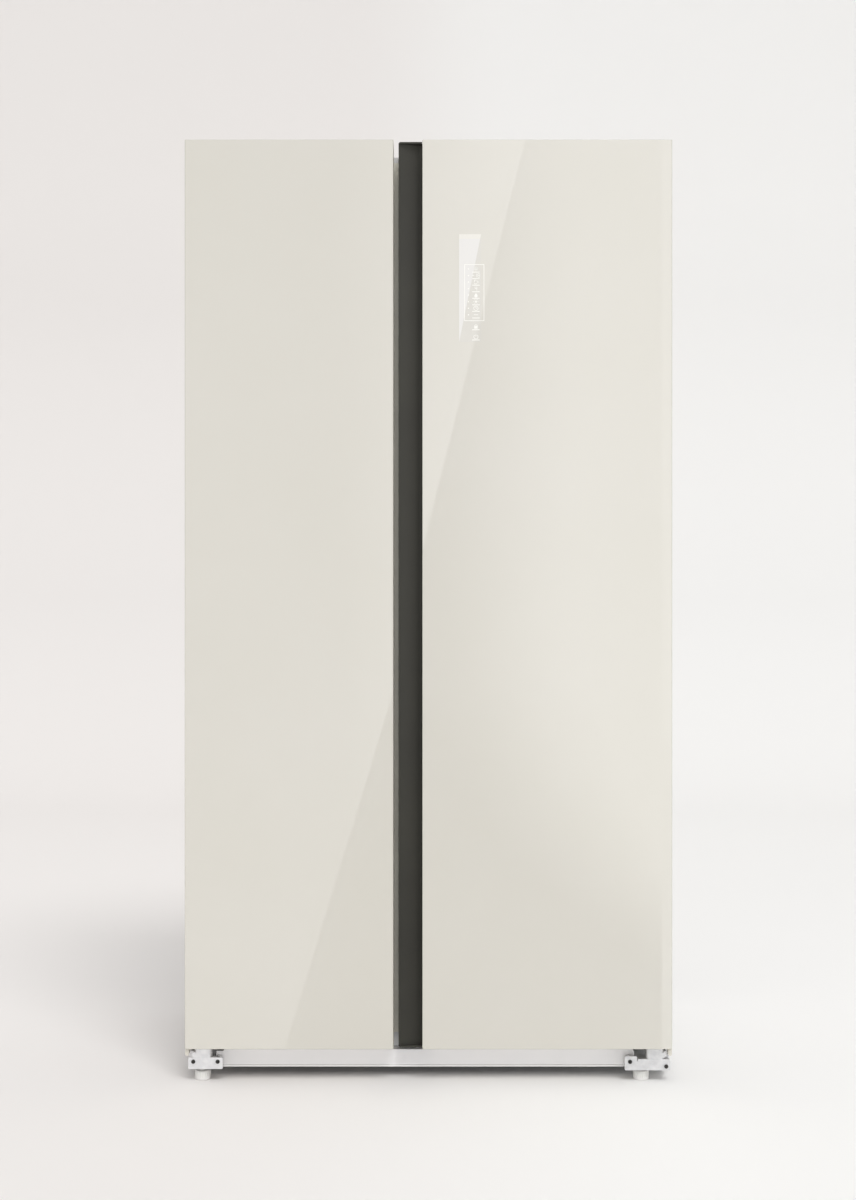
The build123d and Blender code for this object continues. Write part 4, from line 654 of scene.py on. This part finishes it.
def lamp_sign(x, z):
    strokes = [disc(x, z, SIGN / 4)]
    for degrees in range(0, 360, 60):
        strokes.append(bar(*around(x, z, SIGN / 2, degrees), SIGN / 5, ICON_LINE, degrees))
    return strokes


def power_sign(x, z):
    stem = bar(x, z + 0.3 * SIGN, SIGN / 2, ICON_LINE, 90)
    return arc(x, z, SIGN / 2, ICON_LINE, -235, 55) + [stem]


def frame_strokes():
    """The rectangle round the column of signs."""
    middle_x, middle_z = sum(FRAME_X) / 2, sum(FRAME_Z) / 2
    wide, tall = FRAME_X[1] - FRAME_X[0] + FRAME_LINE, FRAME_Z[1] - FRAME_Z[0] - FRAME_LINE
    strokes = [bar(middle_x, z, wide, FRAME_LINE) for z in FRAME_Z]
    return strokes + [bar(x, middle_z, tall, FRAME_LINE, 90) for x in FRAME_X]


def control_strokes():
    """The framed column of signs, the marks beside them and the two signs below the frame."""
    signs = (
        snowflake(ICON_X, ICON_TOP),
        number("-18", ICON_X, ICON_TOP - ICON_PITCH),
        fan_sign(ICON_X, ICON_TOP - 2 * ICON_PITCH),
        number("4", ICON_X, ICON_TOP - 3 * ICON_PITCH),
        droplet(ICON_X, ICON_TOP - 4 * ICON_PITCH),
        lamp_sign(ICON_X, ICON_TOP - 5 * ICON_PITCH),
        clock(ICON_X, ICON_TOP - 6 * ICON_PITCH),
        [bar(ICON_X, ICON_TOP - 7 * ICON_PITCH, SIGN, ICON_LINE)],
        padlock(ICON_X, LOWER_ICONS_Z[0]),
        power_sign(ICON_X, LOWER_ICONS_Z[1]),
    )
    rows = [ICON_TOP - row * ICON_PITCH for row in range(len(signs) - len(LOWER_ICONS_Z))]
    marks = [disc(DOT_X, z, MARK_RADIUS) for z in rows]
    labels = [bar(ICON_X, z - LABEL_DROP, *LABEL_SIZE) for z in (*rows, *LOWER_ICONS_Z)]
    return frame_strokes() + marks + labels + [stroke for sign in signs for stroke in sign]


def control_film():
    """Smooth printed film with a painted reflection that lightens it above its diagonal, creamier along its
    top.
    """
    material, tree, shader = finish("control_film", {"IOR": 1.5})
    where = coordinates(tree)
    tall, wide = FILM_Z[1] - FILM_Z[0], FILM_X[1] - FILM_X[0]
    slant = along(tree, where, (-1 / wide, 0, 1 / tall))
    level = -FILM_X[0] / wide + FILM_Z[0] / tall
    # Painted reflection: the film is lighter above its diagonal, standing in for a mirrored light.
    painted_reflection_share = spread(tree, slant, 0, 1, level - DIAGONAL_FADE, level + DIAGONAL_FADE)
    header_z = FILM_Z[1] - FILM_HEADER
    header = spread(tree, along(tree, where, (0, 0, 1)), 0, 1, header_z, header_z + PAINT_FADE)
    cloud = patches(tree, where, size=0.02)
    ground = blended(tree, cloud, srgb(209, 206.5, 199.5), srgb(211, 208.5, 201.5))
    # The painted reflection's colours, creamier along the top band.
    painted_reflection_colour = blended(tree, header, srgb(224, 222.5, 219.5), srgb(226.5, 224, 217))
    feed(tree, shader,
         colour=blended(tree, painted_reflection_share, ground, painted_reflection_colour),
         roughness=spread(tree, noise(tree, where, size=0.03, detail=5.0), 0.02, 0.05))
    return material


def sign_print():
    """White ceramic print of the signs."""
    material, tree, shader = finish("sign_print", {"IOR": 1.5, "Specular IOR Level": 0.3})
    where = coordinates(tree)
    speck = patches(tree, where, size=0.0006)
    feed(tree, shader,
         colour=blended(tree, speck, srgb(238, 237, 232), srgb(242, 241, 236)),
         roughness=spread(tree, speck, 0.3, 0.45, start=0.0, end=1.0))
    return material


def control_pieces():
    """The film and the signs on it, both on the door's glass."""
    back = door_front + PRINT_BURY
    outline = bar(sum(FILM_X) / 2, sum(FILM_Z) / 2, FILM_X[1] - FILM_X[0], FILM_Z[1] - FILM_Z[0])
    film_mesh = raised([outline], back, door_front - FILM_RISE)
    film = new_piece("control_film", *film_mesh, control_film())
    sign_mesh = raised(control_strokes(), back, door_front - PRINT_RISE)
    signs = new_piece("control_signs", *sign_mesh, sign_print())
    for piece in (film, signs):
        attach(piece, "fridge_door")


control_pieces()


# Stage: pale floor that sweeps up into a wall

# Paint levels at the left and the right, by the place along the floor and up the wall; they hold painted
# light and shade, lighter on the floor in front and darker on the left and on the curve that the lamps light
# most
STAGE_LEVELS = ((-0.5, 234, 245), (2.0, 231, 237), (7.1, 218, 225), (10.0, 226, 234))
STAGE_TINT = {"left": (3.2, 0.0, -2.2), "right": (1.2, 0.3, -1.2)}
STAGE_HALF_FADE = 0.5
STAGE_WOBBLE = 0.04


def stage_side(tree, place, side):
    """The stage's colour on one side, from the floor's front to the wall's top."""
    first, last = STAGE_LEVELS[0][0], STAGE_LEVELS[-1][0]
    ramp = add(tree, "ShaderNodeValToRGB", {"Fac": spread(tree, place, 0, 1, first, last)})
    stops = ramp.color_ramp.elements
    stops.remove(stops[-1])
    for count, (start, left, right) in enumerate(STAGE_LEVELS):
        level = left if side == "left" else right
        stop = stops.new((start - first) / (last - first)) if count else stops[0]
        stop.color = srgb(*(level + tint for tint in STAGE_TINT[side]))
    return ramp.outputs["Color"]


def stage_paint():
    """Pale warm studio paint with painted light and shade, a little darker on the left and up the wall."""
    material, tree, shader = finish("stage_paint", {"IOR": 1.4, "Specular IOR Level": 0.0, "Roughness": 1.0})
    where = coordinates(tree)
    wobble = spread(tree, noise(tree, where, size=0.5), -STAGE_WOBBLE, STAGE_WOBBLE)
    run = along(tree, where, (0, 1, 1))
    place = add(tree, "ShaderNodeMath", {0: run, 1: wobble}, operation="ADD").outputs[0]
    # Painted shade: the left side of the stage is painted darker than the right.
    side = spread(tree, along(tree, where, (1, 0, 0)), 0, 1, -STAGE_HALF_FADE, STAGE_HALF_FADE, smooth=True)
    left, right = stage_side(tree, place, "left"), stage_side(tree, place, "right")
    feed(tree, shader, colour=blended(tree, side, left, right))
    return material


def stage_sweep():
    """A floor that curves up into a wall."""
    section = [(FLOOR_FRONT, 0.0)]
    for step in range(SWEEP_STEPS + 1):
        turn = math.pi / 2 * step / SWEEP_STEPS
        section.append((SWEEP_START + SWEEP_RADIUS * math.sin(turn), SWEEP_RADIUS * (1 - math.cos(turn))))
    section.append((SWEEP_START + SWEEP_RADIUS, WALL_TOP))
    points = [(x, y, z) for y, z in section for x in (-FLOOR_HALF, FLOOR_HALF)]
    faces = [(2 * step, 2 * step + 1, 2 * step + 3, 2 * step + 2) for step in range(len(section) - 1)]
    new_piece("stage_sweep", points, faces, stage_paint(), SWEEP_SMOOTH)


# Cards that the door glass mirrors, drawn on the doors' front and carried out to their own plane

CARD_Y = -0.59
CARD_TOP = 1.82
CARD_LEFT = -0.52
CARD_RIGHT = 0.52
CARD_EDGE = ((0.1954, 1.82), (-0.0065, 1.0125), (-0.0662, 0.7272), (-0.2868, 0.0))
CARD_END_X = 0.4354
BRIGHT_LEVELS = (1.4, 3.7)
BRIGHT_X = (-0.16, 0.19)
SHADED_LEVELS = (0.3, 3.2)
SHADED_X = (-0.0853, 0.3147)
SHADED_BEND_Z = 0.8633
SHADED_BEND = 1.11
END_LEVELS = (1.5, 3.8)
END_Z = (0.1, 0.71)


def card_light(name, level):
    """Light of a card, its level worked out from the place on the doors."""
    material = bpy.data.materials.new(name)
    material.use_nodes = True
    tree = material.node_tree
    tree.nodes.remove(tree.nodes["Principled BSDF"])
    place = add(tree, "ShaderNodeSeparateXYZ", {"Vector": coordinates(tree)}).outputs
    glow = add(tree, "ShaderNodeEmission", {"Strength": level(tree, place)})
    tree.links.new(glow.outputs[0], tree.nodes["Material Output"].inputs["Surface"])
    return material


def bright_level(tree, place):
    return spread(tree, place["X"], *BRIGHT_LEVELS, *BRIGHT_X)


def shaded_level(tree, place):
    """A soft edge that bends to the right towards the floor."""
    below = spread(tree, place["Z"], SHADED_BEND_Z, 0.0, 0.0, SHADED_BEND_Z)
    bend = add(tree, "ShaderNodeMath", {0: below, 1: below}, operation="MULTIPLY").outputs[0]
    terms = {0: bend, 1: -SHADED_BEND, 2: place["X"]}
    shift = add(tree, "ShaderNodeMath", terms, operation="MULTIPLY_ADD").outputs[0]
    return spread(tree, shift, *SHADED_LEVELS, *SHADED_X, smooth=True)


def end_level(tree, place):
    return spread(tree, place["Z"], *END_LEVELS, *END_Z)


def card(name, outline, level):
    """A reflector that only mirror-like surfaces see."""
    points = [(x, 0.0, z) for x, z in outline]
    made = new_piece(name, points, [tuple(range(len(outline)))], card_light(name, level))
    reach = 1 + (door_front - CARD_Y) / (door_front - CAMERA_PLACE.y)
    made.scale = (reach, reach, reach)
    made.location = (CAMERA_PLACE.x * (1 - reach), CARD_Y, CAMERA_PLACE.z * (1 - reach))
    for ray in ("camera", "diffuse", "transmission", "volume_scatter", "shadow"):
        setattr(made, f"visible_{ray}", False)


def reflector_cards():
    """The bright and shaded fields that meet along the doors' diagonal, and a strip by the right edge."""
    edge = list(CARD_EDGE)
    card("card_bright", edge + [(CARD_LEFT, 0.0), (CARD_LEFT, CARD_TOP)], bright_level)
    card("card_shaded", edge + [(CARD_END_X, 0.0), (CARD_END_X, CARD_TOP)], shaded_level)
    end = [(CARD_END_X, 0.0), (CARD_RIGHT, 0.0), (CARD_RIGHT, CARD_TOP), (CARD_END_X, CARD_TOP)]
    card("card_end", end, end_level)


# Light, world and camera

def lamp(name, level, spread_angle, elevation, azimuth, mirrored):
    """A distant soft lamp, placed by its angles as seen from the object."""
    light = bpy.data.lights.new(name, "SUN")
    light.energy = level
    light.angle = math.radians(spread_angle)
    made = bpy.data.objects.new(name, light)
    bpy.context.scene.collection.objects.link(made)
    up, turn = math.radians(elevation), math.radians(azimuth)
    towards = Vector((math.sin(turn) * math.cos(up), -math.cos(turn) * math.cos(up), math.sin(up)))
    made.rotation_euler = towards.to_track_quat("Z", "Y").to_euler()
    made.visible_glossy = mirrored


def world():
    """Even fill light; seen directly it is the stage's own pale colour."""
    made = bpy.data.worlds.new("studio")
    bpy.context.scene.world = made
    made.use_nodes = True
    tree = made.node_tree
    path = add(tree, "ShaderNodeLightPath", {}).outputs
    straight = {0: path["Is Camera Ray"], 1: path["Is Transmission Ray"]}
    seen = add(tree, "ShaderNodeMath", straight, operation="MAXIMUM").outputs[0]
    background = tree.nodes["Background"]
    tree.links.new(blended(tree, seen, (1.0, 1.0, 1.0, 1.0), srgb(*WORLD_SHADE)), background.inputs["Color"])
    tree.links.new(spread(tree, seen, WORLD_LEVEL, 1.0, 0.0, 1.0), background.inputs["Strength"])


def camera():
    """A level camera that looks straight at the doors."""
    lens = bpy.data.cameras.new("camera")
    lens.lens = CAMERA_LENS
    lens.sensor_width = CAMERA_SENSOR
    made = bpy.data.objects.new("camera", lens)
    bpy.context.scene.collection.objects.link(made)
    made.location = CAMERA_PLACE
    made.rotation_euler = (math.pi / 2, 0.0, 0.0)
    bpy.context.scene.camera = made


stage_sweep()
reflector_cards()
for name, settings in LAMPS.items():
    lamp(name, *settings)
world()
camera()
bpy.context.scene.view_settings.view_transform = "Standard"
